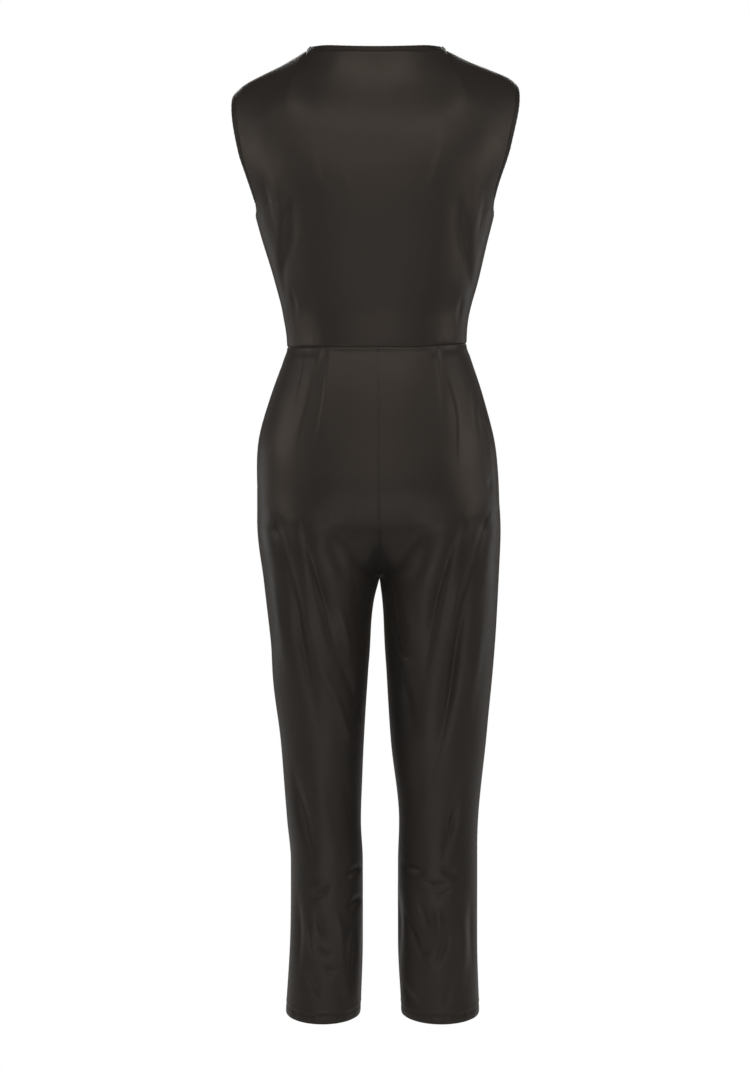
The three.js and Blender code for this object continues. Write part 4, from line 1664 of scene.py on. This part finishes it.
@dataclass
class Jumpsuit:
    """The whole garment: its panels, bands, pocket bags and stitches."""

    finishes: Finishes
    form: Form = field(default_factory=Form)
    leg_area: float = 0.198
    thread_lift: float = 0.12

    def build(self) -> None:
        """Make every piece in order."""
        bodice = {
            Face.BACK: BodicePanel(
                Face.BACK, self.form, bodice_back_creases(), (0.50, 0.45), 0.170
            ),
            Face.FRONT: BodicePanel(
                Face.FRONT, self.form, bodice_front_creases(), (0.50, 0.47), 0.158
            ),
        }
        cloths = {face: panel.build(self.finishes) for face, panel in bodice.items()}
        tree = StitchTree()
        band_stitches = self.build_bands(bodice, tree)
        bodice[Face.BACK].declare(cloths[Face.BACK], band_stitches)
        bodice[Face.FRONT].declare(cloths[Face.FRONT], [])
        for side in Side:
            self.build_leg(side, tree)
            PocketBag(side, self.form, leg_front_creases()).build(self.finishes)

    def build_bands(
        self, bodice: dict[Face, BodicePanel], tree: StitchTree
    ) -> list[bpy.types.Object]:
        """Bind the neck and the armholes.

        Args:
            bodice: the two bodice panels.
            tree: the stitches' nodes.

        Returns:
            The stitch rows.
        """
        back, front = bodice[Face.BACK], bodice[Face.FRONT]
        right, left = back.neck_columns
        foot = back.lower_steps
        rings = [
            (
                BandRing("neck_band", (0.66, 0.0105), lift=1.3),
                *(
                    np.concatenate([a[-1, right:left + 1][::-1], b[-1, right + 1:left]])
                    for a, b in self.pairs(back.sheet, front.sheet)
                ),
            )
        ]
        for side in Side:
            column = -1 if side is Side.LEFT else 0
            rings.append((
                BandRing(f"armhole_band_{side.name.lower()}", (0.43, 0.0105)),
                *(
                    np.concatenate([a[foot:, column], b[foot + 1:-1, column][::-1]])
                    for a, b in self.pairs(back.sheet, front.sheet)
                ),
            ))
        rows = []
        for seed, (ring, edge, normals) in enumerate(rings):
            ring.build(edge, normals, self.finishes)
            line = ring.stitch_line(edge, normals)
            row = tree.lay(f"{ring.name}_stitches", [line], self.finishes.thread, seed)
            hand_over(row, "binding")
            rows.append(row)
        return rows

    @staticmethod
    def pairs(back: Sheet, front: Sheet) -> tuple[tuple[Grid, Grid], tuple[Grid, Grid]]:
        """Points of both sheets, then normals of both sheets."""
        return (back.points, front.points), (back.normals, front.normals)

    def build_leg(self, side: Side, tree: StitchTree) -> None:
        """Make one trouser leg with its hem stitches.

        Args:
            side: the wearer's left or right.
            tree: the stitches' nodes.
        """
        panels = {
            Face.BACK: LegPanel(
                Face.BACK, side, self.form, leg_back_creases(), (0.26, 0.96), self.leg_area
            ),
            Face.FRONT: LegPanel(
                Face.FRONT, side, self.form, leg_front_creases(), (0.26, 0.95),
                self.leg_area, columns_count=80,
            ),
        }
        cloths = {face: panel.build(self.finishes) for face, panel in panels.items()}
        lines = []
        for row in panels[Face.BACK].stitch_rows:
            halves = []
            for face in (Face.BACK, Face.FRONT):
                sheet = panels[face].sheet
                raised = sheet.points[row] + sheet.normals[row] * self.thread_lift
                halves.append(raised if face is Face.BACK else raised[-2:0:-1])
            lines.append(np.concatenate(halves))
        name = f"hem_{side.name.lower()}_stitches"
        stitches = tree.lay(name, lines, self.finishes.thread, 10 + side.value)
        hand_over(stitches, "jersey")
        panels[Face.BACK].declare(cloths[Face.BACK], [stitches])
        panels[Face.FRONT].declare(cloths[Face.FRONT], [])


@dataclass(frozen=True)
class Softbox:
    """A large soft studio light, or a pair, one on each side. Lengths are metres."""

    name: str
    place: tuple[float, float, float]
    aim: tuple[float, float, float]
    size: tuple[float, float]
    power: float
    colour: str = "ffffff"
    paired: bool = True

    def build(self) -> None:
        """Add the light, or the left one of the pair and then the right one."""
        if not self.paired:
            self.add(self.name, 1)
            return
        for side in Side:
            self.add(f"{side.name.lower()}_{self.name}", side.value)

    def add(self, name: str, sign: int) -> None:
        """Add one light, aimed at its mark.

        Args:
            name: the light's name.
            sign: 1 where the place is as stated, -1 where it is mirrored.
        """
        data = bpy.data.lights.new(name, "AREA")
        data.shape = "RECTANGLE"
        data.size, data.size_y = self.size
        data.energy = self.power
        data.color = srgb(self.colour)[:3]
        lamp = bpy.data.objects.new(name, data)
        place, aim = (Vector((sign * x, y, z)) for x, y, z in (self.place, self.aim))
        lamp.location = place
        lamp.rotation_euler = (aim - place).to_track_quat("-Z", "Y").to_euler()
        bpy.context.scene.collection.objects.link(lamp)


@dataclass(frozen=True)
class Studio:
    """Pale floor, soft light and the photograph's camera. Lengths are metres."""

    view: View = View()
    sensor: float = 36
    floor_z: float = -1.45
    floor_half: float = 14
    backdrop: str = "ffffff"
    fill: float = 0.02
    boxes: tuple[Softbox, ...] = (
        Softbox("top", (0.89, 2.0, 1.95), (0.0, 0.0, -0.65), (1.4, 0.9), 2.6),
        Softbox("back", (0.48, 1.2, 0.75), (0.05, 0.1, -0.12), (0.95, 0.7), 4.2, WARM_LIGHT),
        Softbox("hip", (1.58, 0.5, -0.1), (0.1, 0.1, -0.55), (0.6, 0.6), 5.0, WARM_LIGHT),
        Softbox("seat", (0.0, 2.0, -0.1), (0.0, 0.1, -0.6), (1.3, 0.3), 3.8, WARM_LIGHT, False),
        Softbox("low", (0.5, 2.2, -1.3), (0.08, 0.1, -1.0), (0.9, 0.4), 2.9),
        Softbox("side", (2.9, 0.51, 1.05), (0.0, 0.0, -0.65), (0.9, 0.9), 5),
        Softbox("edge", (2.79, -1.95, -0.65), (0.0, 0.0, -0.6), (0.9, 1.1), 6),
        Softbox("front", (0.0, -2.95, 1.2), (0.0, 0.0, -0.62), (3.6, 1.1), 46, paired=False),
    )

    def camera(self) -> None:
        """Set the camera at the photograph's place."""
        data = bpy.data.cameras.new("camera")
        half = self.view.height / 2 * self.view.scale
        data.sensor_width = self.sensor
        data.lens = self.sensor / 2 * self.view.distance / half
        camera = bpy.data.objects.new("camera", data)
        camera.location = Vector((self.view.x, self.view.distance, self.view.z)) * MM
        camera.rotation_euler = (math.radians(90), 0, math.radians(180))
        bpy.context.scene.collection.objects.link(camera)
        bpy.context.scene.camera = camera

    def bright_to_camera(self, tree: bpy.types.NodeTree, plain: Any, bright: Any) -> Any:
        """Show a studio surface as plain white, while it lights the garment only softly."""
        path = add_node(tree, "ShaderNodeLightPath")
        return add_node(
            tree, "ShaderNodeMixShader",
            links={0: path.outputs["Is Camera Ray"], 1: plain, 2: bright},
        ).outputs[0]

    def build(self) -> None:
        """Make the camera, the floor, the surroundings and the lights."""
        scene = bpy.context.scene
        scene.view_settings.view_transform = "Standard"
        self.camera()
        world = bpy.data.worlds.new("studio")
        scene.world = world
        world.use_nodes = True
        tree = world.node_tree
        tree.nodes.clear()
        dim, white = (
            add_node(
                tree, "ShaderNodeBackground", {"Color": srgb(self.backdrop), "Strength": strength}
            )
            for strength in (self.fill, 1.0)
        )
        out = self.bright_to_camera(tree, dim.outputs[0], white.outputs[0])
        add_node(tree, "ShaderNodeOutputWorld", links={"Surface": out})
        self.floor()
        for box in self.boxes:
            box.build()

    def floor(self) -> None:
        """Lay the pale floor under the garment."""
        half, z = self.floor_half, self.floor_z
        mesh = bpy.data.meshes.new("floor")
        corners = [(-half, -half, z), (half, -half, z), (half, half, z), (-half, half, z)]
        mesh.from_pydata(corners, [], [(0, 1, 2, 3)])
        material, tree = new_material("studio_paper")
        paper = add_node(
            tree, "ShaderNodeBsdfPrincipled", {"Base Color": srgb("f2f2f2"), "Roughness": 0.9}
        )
        glow = add_node(tree, "ShaderNodeEmission", {"Color": srgb("ffffff"), "Strength": 1.0})
        out = self.bright_to_camera(tree, paper.outputs[0], glow.outputs[0])
        add_node(tree, "ShaderNodeOutputMaterial", links={"Surface": out})
        mesh.materials.append(material)
        floor = bpy.data.objects.new("floor", mesh)
        bpy.context.scene.collection.objects.link(floor)


def main() -> None:
    """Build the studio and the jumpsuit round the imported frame."""
    logging.basicConfig(level=logging.INFO, format="%(message)s")
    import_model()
    Studio().build()
    finishes = Finishes.make()
    Jumpsuit(finishes).build()
    bpy.context.view_layer.update()


if __name__ == "__main__":
    main()
